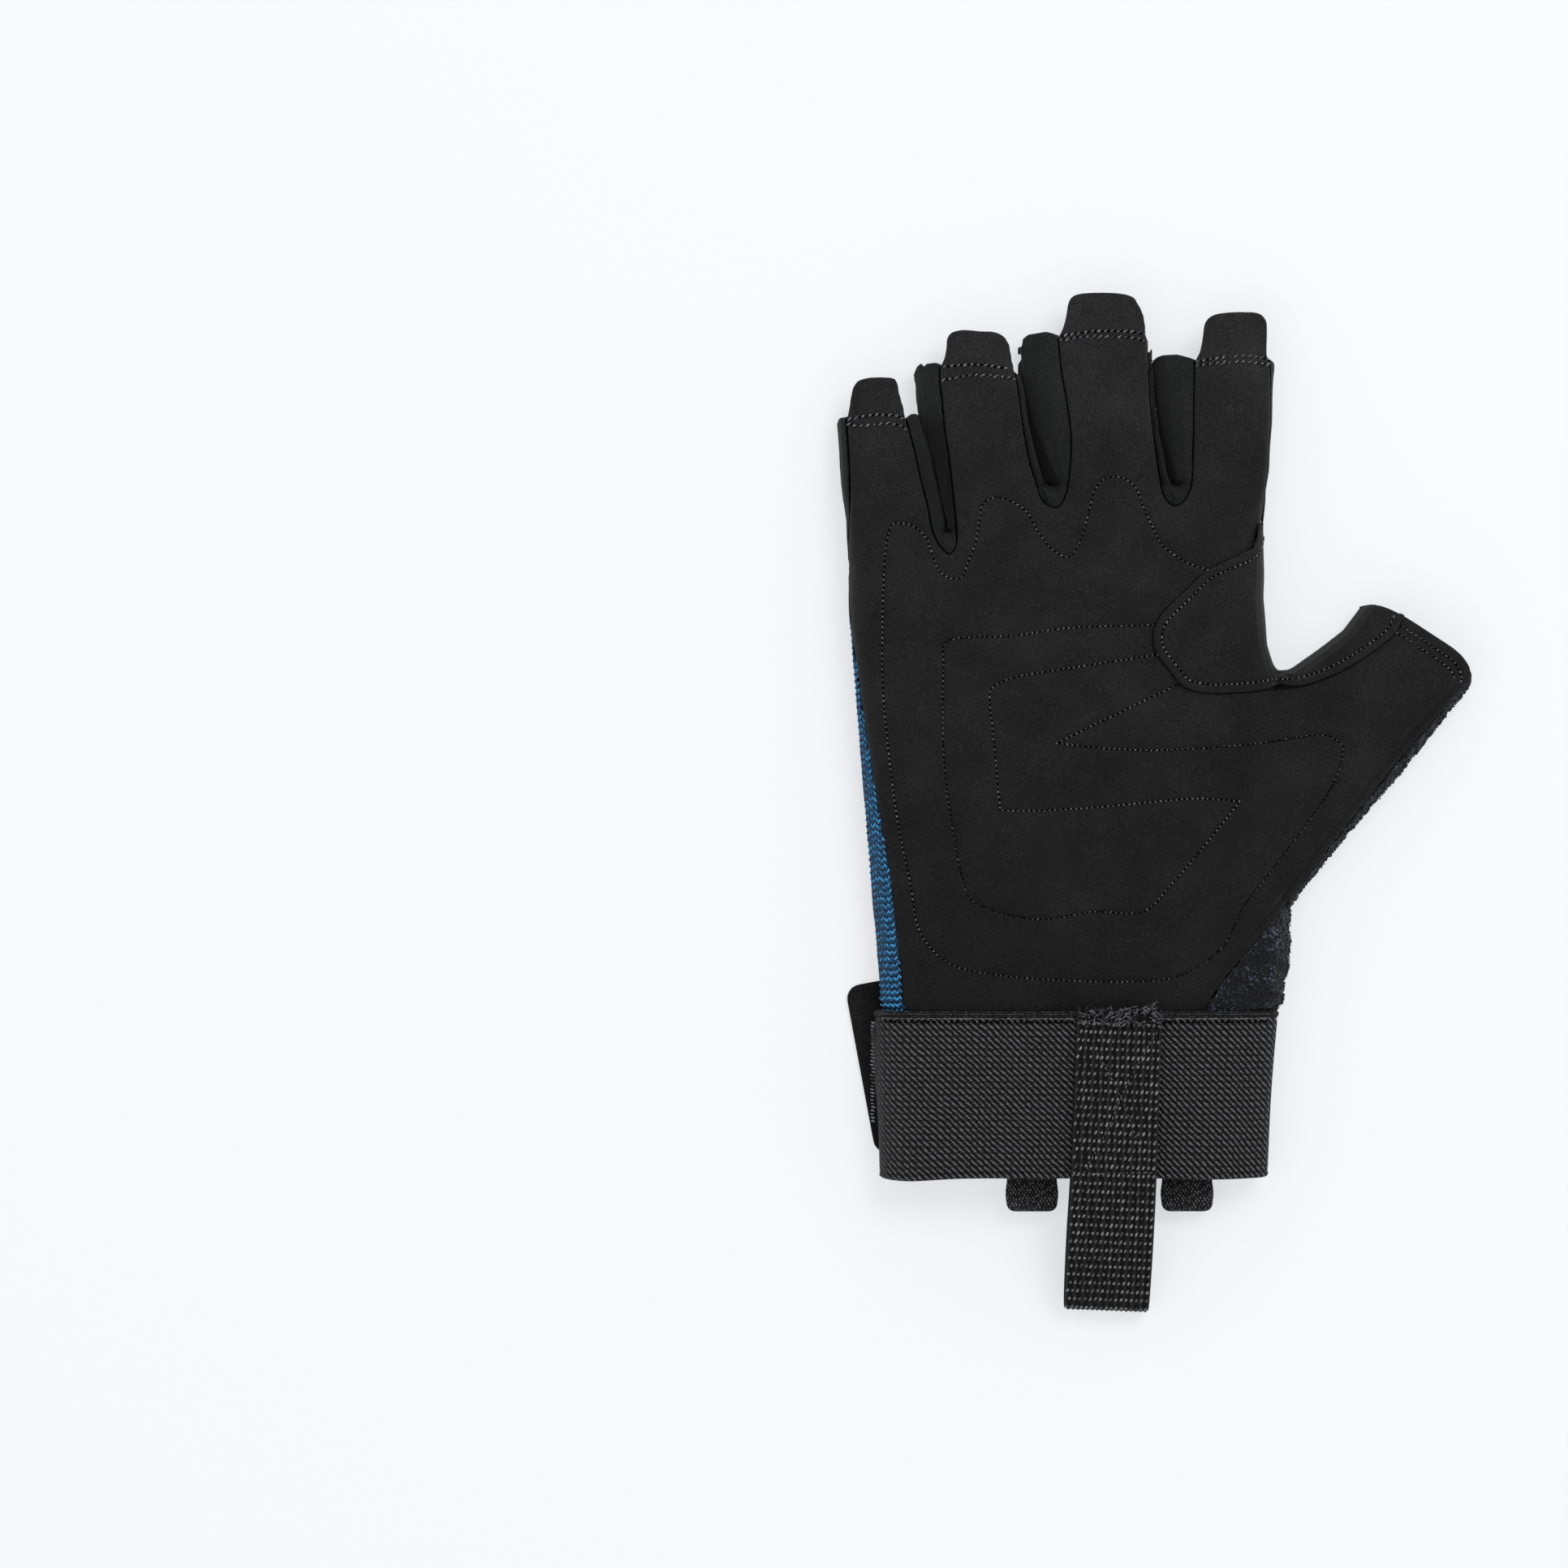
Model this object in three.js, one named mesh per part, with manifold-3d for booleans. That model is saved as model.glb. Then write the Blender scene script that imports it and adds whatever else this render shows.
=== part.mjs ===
import * as THREE from "three";
import { mergeVertices } from "three/addons/utils/BufferGeometryUtils.js";
import Module from "manifold-3d";

// A half-finger climbing glove for the right hand, lying on a flat surface with its palm up.
// Millimetres. The fingers point along +Y, the thumb leans out towards +X, and +Z is up.
// The origin lies on the surface, under the middle of the glove's bounding box.

const wasm = await Module();
wasm.setup();

// Driving sizes
const cloth = 1.5; // wall of the palm, the back and the finger sides
const patchCloth = 1.0; // gusset patch sewn over the palm
const tabCloth = 1.2; // pull tabs at the fingertips
const elastic = 1.8; // cuff band
const webbing = 1.4; // clip loop
const ribbon = 0.9; // small hang loops
const seamGap = 0.3; // clearance between two sewn pieces
const foldHeight = 1.6; // height of the side folds above the underside
const crown = 0.7; // how far the top of a section bulges
const footInset = 1.2; // how far the flat underside stays in from the folds
const beyond = 200; // cutters reach this far past the glove

// Section tables
// A row is one cross-section of the hollow form. left and right are its two folds seen from above,
// leanLeft and leanRight how far the wall leans in from a fold to the flat top,
// floor and top the heights of its underside and its top.
const named = (columns, rows) =>
  rows.map((row) => Object.fromEntries(columns.map((name, i) => [name, row[i]])));

// The hand, from the wrist to the finger crotches. Its last sections slant, so they have two y values.
// panelInset is how far the palm panel's edge stays in from the little-finger side.
const hand = named(
  ["yLeft", "yRight", "left", "right", "leanLeft", "leanRight", "floor", "top", "panelInset"],
  [
    [-56.0, -56.0, -58.8, 22.8, 5.0, 9.0, 3.7, 12.1, 4.5],
    [-47.2, -47.2, -59.0, 23.2, 5.0, 9.0, 3.7, 12.4, 4.5],
    [-45.4, -45.4, -62.4, 28.2, 5.0, 5.0, 2.4, 12.6, 4.8],
    [-37.3, -37.3, -63.1, 31.0, 5.5, 5.5, 2.0, 12.8, 5.4],
    [-29.0, -29.0, -63.8, 31.2, 6.0, 6.0, 0.0, 12.9, 5.5],
    [-16.0, -16.0, -65.0, 31.2, 6.0, 6.0, 0.0, 13.2, 5.0],
    [0.0, 0.0, -66.3, 31.0, 6.0, 6.0, 0.0, 13.6, 3.6],
    [16.0, 16.0, -67.6, 30.2, 6.0, 6.0, 0.0, 13.5, 2.2],
    [27.0, 27.0, -68.5, 27.8, 5.5, 5.5, 0.0, 13.3, 1.4],
    [36.0, 36.0, -69.2, 25.0, 5.0, 5.0, 0.0, 13.1, 1.0],
    [42.0, 47.0, -69.7, 23.9, 4.5, 4.5, 0.0, 12.9, 0.8],
    [47.0, 57.0, -70.0, 23.5, 4.0, 4.0, 0.0, 12.6, 0.8],
    [50.0, 64.0, -70.1, 23.7, 3.5, 3.5, 0.0, 11.9, 0.8],
    [51.2, 67.4, -70.2, 24.2, 3.0, 3.0, 0.0, 10.4, 0.8],
    [52.0, 69.0, -70.2, 24.4, 3.0, 3.0, 0.0, 7.5, 0.8],
  ],
);

const fingerColumns = ["y", "left", "right", "leanLeft", "leanRight", "top"];
const fingers = {
  little: named(fingerColumns, [
    [42.0, -69.3, -47.0, 3.0, 3.0, 11.6],
    [53.4, -69.9, -47.2, 2.4, 3.0, 11.6],
    [64.5, -70.6, -47.8, 1.8, 3.3, 11.4],
    [71.9, -71.5, -49.4, 2.2, 3.9, 11.0],
    [79.4, -72.2, -51.3, 2.6, 3.5, 10.6],
    [87.7, -72.6, -53.1, 2.8, 3.4, 10.2],
  ]),
  ring: named(fingerColumns, [
    [42.0, -46.6, -22.2, 2.5, 2.5, 11.9],
    [53.4, -46.8, -22.4, 2.0, 2.0, 11.9],
    [64.5, -47.4, -23.1, 2.0, 2.1, 11.7],
    [71.9, -48.9, -25.6, 2.4, 2.2, 11.4],
    [79.4, -50.6, -27.6, 3.4, 2.2, 11.1],
    [90.5, -53.0, -29.8, 4.9, 1.9, 10.8],
    [99.2, -54.1, -31.1, 5.4, 1.7, 10.6],
  ]),
  middle: named(fingerColumns, [
    [48.0, -22.0, 5.2, 2.5, 2.5, 12.0],
    [60.0, -22.6, 4.9, 2.5, 2.0, 11.9],
    [69.2, -23.5, 4.3, 4.2, 2.1, 11.7],
    [76.0, -25.4, 2.4, 6.5, 2.2, 11.4],
    [86.4, -28.5, 0.0, 8.9, 2.0, 11.1],
    [96.9, -29.8, -0.9, 9.1, 1.6, 10.9],
    [106.8, -30.4, -1.1, 8.5, 1.6, 10.8],
  ]),
  index: named(fingerColumns, [
    [48.0, 5.4, 22.0, 2.5, 2.5, 11.8],
    [60.0, 5.2, 23.2, 2.2, 2.5, 11.8],
    [69.2, 4.8, 25.4, 3.0, 1.8, 11.6],
    [76.0, 3.5, 26.4, 5.4, 1.7, 11.3],
    [86.4, 1.5, 27.1, 7.8, 1.6, 11.0],
    [94.2, 0.6, 27.4, 8.8, 1.6, 10.8],
    [102.0, -0.2, 27.6, 9.8, 1.6, 10.6],
  ]),
};

// Webs that join the finger walls at the crotches and slope down between them.
const webs = [
  named(fingerColumns, [
    [48.0, -51.5, -43.0, 1.2, 1.2, 11.4],
    [58.0, -51.0, -43.6, 1.2, 1.2, 10.4],
    [60.5, -50.6, -44.0, 1.2, 1.2, 9.0],
    [62.2, -50.2, -44.4, 1.2, 1.2, 6.6],
  ]),
  named(fingerColumns, [
    [58.0, -28.0, -18.2, 1.2, 1.2, 11.8],
    [68.6, -27.6, -18.6, 1.2, 1.2, 10.4],
    [71.0, -27.4, -18.8, 1.2, 1.2, 9.0],
    [72.6, -27.2, -19.0, 1.2, 1.2, 6.6],
  ]),
  named(fingerColumns, [
    [58.0, -0.6, 9.4, 1.2, 1.2, 11.8],
    [69.0, -0.2, 9.2, 1.2, 1.2, 10.4],
    [71.2, 0.0, 9.0, 1.2, 1.2, 9.0],
    [72.6, 0.2, 8.8, 1.2, 1.2, 6.6],
  ]),
];

// The thumb, from inside the palm to past its hem. Its sections turn, so each fold has an x and a y.
const thumb = named(
  ["left", "yLeft", "right", "yRight", "leanLeft", "leanRight", "top"],
  [
    [17.0, 22.0, 13.0, -23.0, 5.0, 5.0, 12.2],
    [28.6, 27.6, 31.0, -23.8, 5.0, 4.0, 12.2],
    [36.6, 33.0, 43.9, -7.7, 5.0, 3.5, 11.8],
    [43.7, 38.4, 55.6, 5.8, 5.0, 3.0, 11.2],
    [48.2, 44.2, 71.4, 25.6, 4.5, 2.6, 10.2],
    [51.4, 48.4, 74.6, 29.8, 4.5, 2.6, 10.0],
  ],
);
// The thumb's curved hem, seen from above, from the gusset's corner to the outer corner.
const thumbHem = [
  [47.0, 44.8], [50.5, 45.0], [55.9, 42.9], [63.6, 38.0], [69.2, 34.1], [71.8, 30.4], [72.2, 26.6], [70.8, 24.6],
];

// Edges of the sewn panels, seen from above, as [x, y] points
// Outer edge of the palm panel, from the thumb hem down to the cuff.
const palmOuterEdge = [
  [70.2, 26.4], [56.4, 10.8], [42.6, -6.2], [30.4, -22.2], [22.0, -32.6], [14.6, -41.4], [9.6, -50.0], [9.6, -62.0],
];
// Edge of the gusset patch on the palm, from the index finger round to the thumb hem.
const patchEdge = [
  [23.6, 63.4], [21.8, 57.6], [12.2, 52.9], [6.6, 47.8], [1.2, 42.4], [-0.5, 38.4], [0.1, 34.2], [3.8, 29.2],
  [6.6, 26.2], [12.0, 25.0], [20.2, 25.2], [26.2, 26.0], [33.8, 26.8], [41.8, 29.8], [50.0, 34.8], [54.4, 38.6],
  [56.4, 42.4],
];
// Seam on the back between the knit and the terry cloth of the thumb.
const terrySeam = [[27.4, 30.6], [22.0, 12.0], [14.5, -12.0], [7.0, -34.0], [3.0, -62.0]];
// Quilting lines sewn through the palm panel. Both start and end at the patch.
const outerQuilting = [
  [11.9, 52.9], [7.2, 54.5], [2.0, 57.9], [-0.2, 61.6], [-2.8, 67.1], [-4.8, 71.9], [-8.3, 74.0], [-12.0, 73.4],
  [-14.1, 70.3], [-15.7, 64.2], [-17.8, 57.9], [-20.4, 55.8], [-23.9, 57.9], [-27.0, 61.9], [-29.3, 66.0], [-32.8, 68.4],
  [-36.3, 69.4], [-39.3, 68.1], [-40.0, 64.9], [-40.9, 59.5], [-42.8, 54.2], [-44.4, 51.0], [-47.8, 51.4], [-49.8, 53.4],
  [-51.3, 57.7], [-52.6, 60.6], [-55.2, 62.9], [-57.6, 63.4], [-60.6, 62.3], [-61.9, 50.6], [-62.2, 29.4], [-61.3, 16.4],
  [-59.1, -2.1], [-55.9, -18.4], [-53.5, -29.9], [-46.1, -37.1], [-33.9, -39.5], [-20.9, -40.5], [-6.1, -40.8],
  [5.2, -39.5], [15.0, -33.1], [20.2, -23.4], [28.7, -12.5], [35.0, -4.0], [40.4, 4.2], [42.6, 11.9], [41.1, 14.0],
  [36.9, 15.3], [20.9, 13.1], [3.1, 11.9], [-9.4, 12.1], [-22.6, 13.4], [-22.6, 14.2], [-9.4, 19.9], [5.2, 26.9],
];
const innerQuilting = [
  [-0.6, 40.3], [-19.1, 39.7], [-32.0, 37.9], [-42.8, 37.5], [-48.0, 36.2], [-48.3, 31.2], [-48.5, 14.2], [-46.9, -2.1],
  [-43.7, -18.4], [-40.4, -23.2], [-27.4, -26.6], [-14.3, -24.9], [-3.0, -24.9], [3.9, -18.2], [12.0, -8.6],
  [17.2, -2.1], [18.6, 0.3], [10.2, 0.9], [3.1, 0.5], [-17.6, -1.4], [-33.9, -1.8], [-35.6, 0.3], [-36.9, 14.2],
  [-37.8, 22.3], [-37.2, 26.2], [-32.0, 28.4], [-25.0, 29.7], [-19.1, 30.6], [2.0, 33.8],
];
const grooveWidth = 1.2;
const grooveDepth = 0.5;

// Crotches between the fingers: the rounded end of each notch in the palm panel, from left to right.
const crotches = {
  littleRing: [[-51.3, 62.8], [-50.0, 59.3], [-48.0, 57.0], [-46.7, 56.4], [-45.3, 58.1], [-45.0, 61.0]],
  ringMiddle: [[-27.3, 72.1], [-26.4, 69.4], [-24.6, 67.5], [-22.7, 67.0], [-21.1, 68.0], [-19.9, 71.2]],
  middleIndex: [[0.6, 73.4], [1.7, 69.8], [3.4, 67.8], [4.7, 67.4], [6.6, 68.4], [8.0, 70.8]],
};

// Pull tabs at the fingertips, seen from above. y is where the finger ends and tip the tab's end.
const tabs = named(["finger", "y", "baseLeft", "baseRight", "tipLeft", "tipRight", "tip"], [
  ["little", 87.7, -69.6, -56.8, -68.6, -58.8, 96.8],
  ["ring", 99.2, -48.5, -32.9, -47.4, -33.8, 107.7],
  ["middle", 106.8, -21.6, -2.8, -19.4, -3.8, 116.3],
  ["index", 102.0, 9.8, 25.9, 11.4, 25.6, 112.1],
]);
const tabRoot = 4; // how far a tab reaches back inside its finger
const tabFloor = 6.3; // height that a tab's curled sides stop at
const tabCorner = 2.6; // radius of a tab's corners

// Line that parts the upper pieces from the lower ones, as [y, z] points from the wrist to the fingertips.
const partingLine = [[-beyond, 6.4], [-45.0, 6.4], [-30.0, 2.4], [beyond, 2.4]];

// Cuff. Its path goes round the wrist as [x, z] points, open at the little-finger side.
const cuffTop = -47.4;
const cuffBottom = -85.5;
const cuffMiddle = -18.0;
const cuffTaper = 0.96; // the lower edge is narrower than the upper one
const cuffPath = [
  [-63.3, 4.4], [-62.9, 7.2], [-60.8, 10.4], [-55.5, 12.8], [-40.0, 13.7], [-18.0, 14.0], [4.0, 13.7], [17.0, 12.6],
  [24.8, 10.2], [27.0, 6.8], [24.8, 3.6], [18.0, 2.1], [0.0, 2.0], [-22.0, 2.2], [-38.0, 2.4], [-50.6, 2.5],
];
// The suede tab that closes the cuff, turned about its top left corner, and the strip of pile that it grips.
const closureTab = { left: -70.7, right: -35.0, bottom: -81.6, top: -42.4, corner: 3.2, thickness: 1.2, turn: 10.5 };
const pileStrip = { left: -64.9, right: -52.0, bottom: -83.4, top: -50.4, corner: 1.0, base: 1.5, thickness: 1.0 };

// Clip loop of webbing: its path runs down the cuff, folds, and returns inside it, as [y, z] points.
const clipLoop = {
  width: 19.4,
  at: [-8.4, 0],
  turn: -2.1,
  path: [
    [-46.6, 15.9], [-60.0, 16.0], [-75.0, 16.0], [-86.0, 16.2], [-97.0, 14.2], [-106.0, 10.8], [-112.6, 7.2],
    [-115.6, 4.0], [-113.4, 1.1], [-107.0, 1.0], [-98.0, 3.4], [-90.0, 8.2], [-83.0, 11.4], [-74.0, 11.9],
    [-66.0, 11.9],
  ],
};
// Small hang loops of knit ribbon, sewn inside the back of the cuff.
const hangLoops = [
  { name: "hang_loop_left", left: -33.6, base: 4.15 },
  { name: "hang_loop_right", left: 1.9, base: 3.8 },
];
const hangLoopWidth = 11.3;
const hangLoopPath = [
  [-72, 1.3], [-84, 1.3], [-89, 1.5], [-92, 1.5], [-93.2, 0.6], [-92, -0.4], [-89, -0.3], [-84, 0], [-72, 0],
];

// Turns a closed geometry into a solid, with its faces pointing out.
function solid(geometry) {
  const bare = geometry.clone();
  bare.deleteAttribute("normal");
  bare.deleteAttribute("uv");
  const merged = mergeVertices(bare, 1e-4);
  const triVerts = new Uint32Array(merged.index.array);
  const build = () =>
    new wasm.Manifold(new wasm.Mesh({ numProp: 3, vertProperties: merged.attributes.position.array, triVerts }));
  const made = build();
  if (made.volume() > 0) return made;
  for (let i = 0; i < triVerts.length; i += 3) {
    [triVerts[i + 1], triVerts[i + 2]] = [triVerts[i + 2], triVerts[i + 1]];
  }
  return build();
}

// Turns a solid back into a geometry, keeping its largest body and dropping slivers.
function geometryOf(made) {
  const bodies = made.decompose().sort((a, b) => b.volume() - a.volume());
  const mesh = bodies[0].getMesh();
  const geometry = new THREE.BufferGeometry();
  geometry.setAttribute("position", new THREE.BufferAttribute(new Float32Array(mesh.vertProperties), 3));
  geometry.setIndex(new THREE.BufferAttribute(new Uint32Array(mesh.triVerts), 1));
  geometry.computeVertexNormals();
  return geometry;
}

// Joins rings of equally many points into one closed geometry. outline is a ring seen flat, for the caps.
function loft(rings, outline) {
  const count = outline.length;
  const index = [];
  for (let r = 0; r < rings.length - 1; r++) {
    for (let i = 0; i < count; i++) {
      const a = r * count + i;
      const b = r * count + ((i + 1) % count);
      index.push(a, b, b + count, a, b + count, a + count);
    }
  }
  const last = (rings.length - 1) * count;
  const turn = THREE.ShapeUtils.isClockWise(outline) ? -1 : 1;
  for (const face of THREE.ShapeUtils.triangulateShape(outline, [])) {
    const [a, b, c] = face;
    const facing = THREE.ShapeUtils.isClockWise([outline[a], outline[b], outline[c]]) ? -1 : 1;
    const [p, q] = facing === turn ? [b, c] : [c, b];
    index.push(a, q, p, last + a, last + p, last + q);
  }
  const geometry = new THREE.BufferGeometry();
  geometry.setAttribute("position", new THREE.Float32BufferAttribute(rings.flat().flatMap((p) => p.toArray()), 3));
  geometry.setIndex(index);
  return geometry;
}

// One section's outline as (across, up) points, grown outwards by grow.
function sectionOutline(width, row, grow) {
  const wallSteps = 4;
  const crownSteps = 4;
  const start = -grow;
  const end = width + grow;
  const floor = row.floor - grow;
  const shoulder = row.top + grow - crown;
  const fold = floor + foldHeight;
  const outline = [];
  for (let i = 0; i <= wallSteps; i++) {
    const angle = (i / wallSteps) * (Math.PI / 2);
    outline.push([start + row.leanLeft * (1 - Math.cos(angle)), fold + (shoulder - fold) * Math.sin(angle)]);
  }
  for (let i = 1; i < crownSteps; i++) {
    const share = i / crownSteps;
    const across = THREE.MathUtils.lerp(start + row.leanLeft, end - row.leanRight, share);
    outline.push([across, shoulder + crown * Math.sin(share * Math.PI)]);
  }
  for (let i = wallSteps; i >= 0; i--) {
    const angle = (i / wallSteps) * (Math.PI / 2);
    outline.push([end - row.leanRight * (1 - Math.cos(angle)), fold + (shoulder - fold) * Math.sin(angle)]);
  }
  outline.push([end - footInset, floor], [start + footInset, floor]);
  return outline.map(([across, up]) => new THREE.Vector2(across, up));
}

// Lofts one tube of the glove from its rows. grow moves its skin outwards, and reach adds length at the open end.
function tube(rows, { grow = 0, reachStart = 0, reachEnd = 0 } = {}) {
  const sections = rows.map((row) => ({
    floor: 0,
    ...row,
    a: new THREE.Vector2(row.left, row.yLeft ?? row.y),
    b: new THREE.Vector2(row.right, row.yRight ?? row.y),
  }));
  const stretch = (from, to, distance) => {
    if (!distance) return [];
    const away = to.a.clone().add(to.b).sub(from.a).sub(from.b).setLength(distance);
    return [{ ...to, a: to.a.clone().add(away), b: to.b.clone().add(away) }];
  };
  const all = [
    ...stretch(sections[1], sections[0], reachStart),
    ...sections,
    ...stretch(sections.at(-2), sections.at(-1), reachEnd),
  ];
  let outline;
  const rings = all.map((row) => {
    const along = row.b.clone().sub(row.a);
    outline = sectionOutline(along.length(), row, grow);
    along.normalize();
    return outline.map((p) => new THREE.Vector3(row.a.x + along.x * p.x, row.a.y + along.y * p.x, p.y));
  });
  return solid(loft(rings, outline));
}

// The whole glove as one closed form, grown outwards by grow.
function gloveForm(grow, reach = 0) {
  const handRows = grow < 0 ? shortened(hand, grow) : hand;
  const parts = [tube(handRows, { grow, reachStart: reach }), tube(thumb, { grow, reachEnd: reach })];
  for (const rows of Object.values(fingers)) parts.push(tube(rows, { grow, reachEnd: reach }));
  for (const rows of webs) parts.push(tube(moved(rows, Math.min(grow, 0)), { grow }));
  return parts.reduce((all, part) => all.add(part));
}

// A web's rows moved along the fingers, so that the inner form leaves a wall at its end.
const moved = (rows, distance) => rows.map((row) => ({ ...row, y: row.y + distance }));

// The hand's rows moved back from the crotches, so that the inner form leaves a wall there.
function shortened(rows, grow) {
  const slanting = 4;
  return rows.map((row, i) =>
    i < rows.length - slanting ? row : { ...row, yLeft: row.yLeft + grow, yRight: row.yRight + grow },
  );
}

// A vertical prism over an outline seen from above.
function prism(outline, bottom = -beyond, top = beyond) {
  const shape = new THREE.Shape(outline.map(([x, y]) => new THREE.Vector2(x, y)));
  const geometry = new THREE.ExtrudeGeometry(shape, { depth: top - bottom, bevelEnabled: false });
  return solid(geometry.translate(0, 0, bottom));
}

// An outline moved outwards by a small distance.
function offset(outline, distance) {
  const points = outline.map(([x, y]) => new THREE.Vector2(x, y));
  const sign = THREE.ShapeUtils.isClockWise(points) ? -distance : distance;
  return points.map((point, i) => {
    const before = point.clone().sub(points.at(i - 1)).normalize();
    const after = points[(i + 1) % points.length].clone().sub(point).normalize();
    const out = new THREE.Vector2(before.y + after.y, -before.x - after.x).normalize();
    const stretch = 1 / Math.max(0.5, out.dot(new THREE.Vector2(before.y, -before.x)));
    return [point.x + out.x * sign * stretch, point.y + out.y * sign * stretch];
  });
}

// Stands a flat [y, z] outline up across the glove, as wide as width from x = 0.
function standing(outline, width) {
  const geometry = new THREE.ExtrudeGeometry(new THREE.Shape(outline), { depth: width, bevelEnabled: false });
  const turned = new THREE.Matrix4().makeBasis(
    new THREE.Vector3(0, 1, 0),
    new THREE.Vector3(0, 0, 1),
    new THREE.Vector3(1, 0, 0),
  );
  return geometry.applyMatrix4(turned);
}

// Everything above the parting line, moved up by shift.
function aboveParting(shift) {
  const line = partingLine.map(([y, z]) => new THREE.Vector2(y, z + shift));
  const outline = [...line, new THREE.Vector2(beyond, beyond), new THREE.Vector2(-beyond, beyond)];
  return solid(standing(outline, 2 * beyond).translate(-beyond, 0, 0));
}

// A strip of constant thickness along a smooth path, as a flat outline.
function stripOutline(path, thickness, steps) {
  const curve = new THREE.SplineCurve(path.map(([u, v]) => new THREE.Vector2(u, v)));
  const centre = curve.getSpacedPoints(steps);
  const side = (sign) =>
    centre.map((point, i) => {
      const ahead = centre[Math.min(i + 1, steps)];
      const behind = centre[Math.max(i - 1, 0)];
      const along = ahead.clone().sub(behind).normalize();
      return new THREE.Vector2(point.x - along.y * sign * thickness / 2, point.y + along.x * sign * thickness / 2);
    });
  return [...side(1), ...side(-1).reverse()];
}

// A flat plate with rounded corners, from bottom to bottom + thickness.
function roundedPlate({ left, right, bottom, top, corner, base = 0, thickness }) {
  const shape = new THREE.Shape();
  shape.moveTo(left + corner, bottom);
  shape.lineTo(right - corner, bottom);
  shape.absarc(right - corner, bottom + corner, corner, -Math.PI / 2, 0, false);
  shape.lineTo(right, top - corner);
  shape.absarc(right - corner, top - corner, corner, 0, Math.PI / 2, false);
  shape.lineTo(left + corner, top);
  shape.absarc(left + corner, top - corner, corner, Math.PI / 2, Math.PI, false);
  shape.lineTo(left, bottom + corner);
  shape.absarc(left + corner, bottom + corner, corner, Math.PI, 1.5 * Math.PI, false);
  const geometry = new THREE.ExtrudeGeometry(shape, { depth: thickness, bevelEnabled: false, curveSegments: 4 });
  return geometry.translate(0, 0, base);
}

// Materials
const suede = new THREE.MeshStandardMaterial({ color: 0x232424, roughness: 0.95, metalness: 0 });
const knit = new THREE.MeshStandardMaterial({ color: 0x1f5d8c, roughness: 0.9, metalness: 0 });
const terry = new THREE.MeshStandardMaterial({ color: 0x1c1e28, roughness: 1.0, metalness: 0 });
const elasticTwill = new THREE.MeshStandardMaterial({ color: 0x2f3030, roughness: 0.8, metalness: 0 });
const nylon = new THREE.MeshStandardMaterial({ color: 0x29292a, roughness: 0.6, metalness: 0 });
const pile = new THREE.MeshStandardMaterial({ color: 0x3a3c42, roughness: 1.0, metalness: 0 });

const glove = new THREE.Group();
function add(name, geometry, material) {
  const mesh = new THREE.Mesh(geometry, material);
  mesh.name = name;
  glove.add(mesh);
  return mesh;
}

// Seams of a finger, seen from above, from its base to its end.
const leftSeam = (name) => fingers[name].map((row) => [row.left + row.leanLeft, row.y]);
const rightSeam = (name) => fingers[name].map((row) => [row.right - row.leanRight, row.y]);
const freePart = (seam, [, y]) => seam.filter((point) => point[1] > y + 2);
const past = ([x, y]) => [x, y + 30];

// Regions of the upper pieces
const notches = {
  fourchette_little_ring: ["little", "ring", crotches.littleRing],
  fourchette_ring_middle: ["ring", "middle", crotches.ringMiddle],
  fourchette_middle_index: ["middle", "index", crotches.middleIndex],
};
// The palm panel's edge down one finger, round the crotch and up the next.
function notchEdge(a, b, crotch) {
  const down = freePart(rightSeam(a), crotch[0]).reverse();
  const up = freePart(leftSeam(b), crotch.at(-1));
  return [past(down[0]), ...down, ...crotch, ...up, past(up.at(-1))];
}
const littleSide = leftSeam("little").filter(([, y]) => y > 60);
const littleSideOutline = [[-70.6, 42], ...littleSide, past(littleSide.at(-1)), [-90, 120], [-90, 42]];
const indexSide = rightSeam("index").filter(([, y]) => y > 65);
const indexSideOutline = [[24.0, 63.9], ...indexSide, past(indexSide.at(-1)), [40, 132], [40, 63.9]];
const lowerRows = hand.filter((row) => row.yLeft < 44);
const handEdge = lowerRows.map((row) => [row.left + row.panelInset, row.yLeft]);
const palmOutline = [
  [handEdge[0][0], -70],
  ...handEdge,
  ...littleSide,
  past(littleSide.at(-1)),
  ...Object.values(notches).flatMap(([a, b, crotch]) => notchEdge(a, b, crotch)),
  past(indexSide.at(-1)),
  ...indexSide.reverse(),
  [24.0, 63.9],
  [34, 60],
  [90, 60],
  ...palmOuterEdge,
  [9.6, -70],
];
const thumbEndOutline = [...thumbHem, [90, 10], [90, 80], [44, 80]];
const terryOutline = [...terrySeam, [3, -90], [100, -90], [100, 70], [34, 50]];
const patchOutline = [...patchEdge, [62, 60], [40, 60], [33, 52], [33, 63.4]];

// The hollow glove, cut into its sewn panels
const outer = gloveForm(0);
const inner = gloveForm(-cloth, 6);
const shell = outer.subtract(inner).subtract(prism(thumbEndOutline));
const half = seamGap / 2;
const upper = shell.intersect(aboveParting(half));
const upperPiece = (outline) => upper.intersect(prism(offset(outline, -half)));

// The quilting pulls shallow grooves into the palm's face.
const core = gloveForm(-grooveDepth);
function groove(path) {
  const steps = Math.round(1.75 * path.length);
  const strip = stripOutline(path, grooveWidth, steps).map((p) => [p.x, p.y]);
  return prism(strip).subtract(core);
}
const palm = upperPiece(palmOutline).subtract(groove(outerQuilting)).subtract(groove(innerQuilting));
add("palm_panel", geometryOf(palm), suede);
for (const [name, [a, b, crotch]] of Object.entries(notches)) {
  add(name, geometryOf(upperPiece(notchEdge(a, b, crotch))), suede);
}
add("little_side_panel", geometryOf(upperPiece(littleSideOutline)), suede);
add("index_side_panel", geometryOf(upperPiece(indexSideOutline)), suede);

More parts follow.
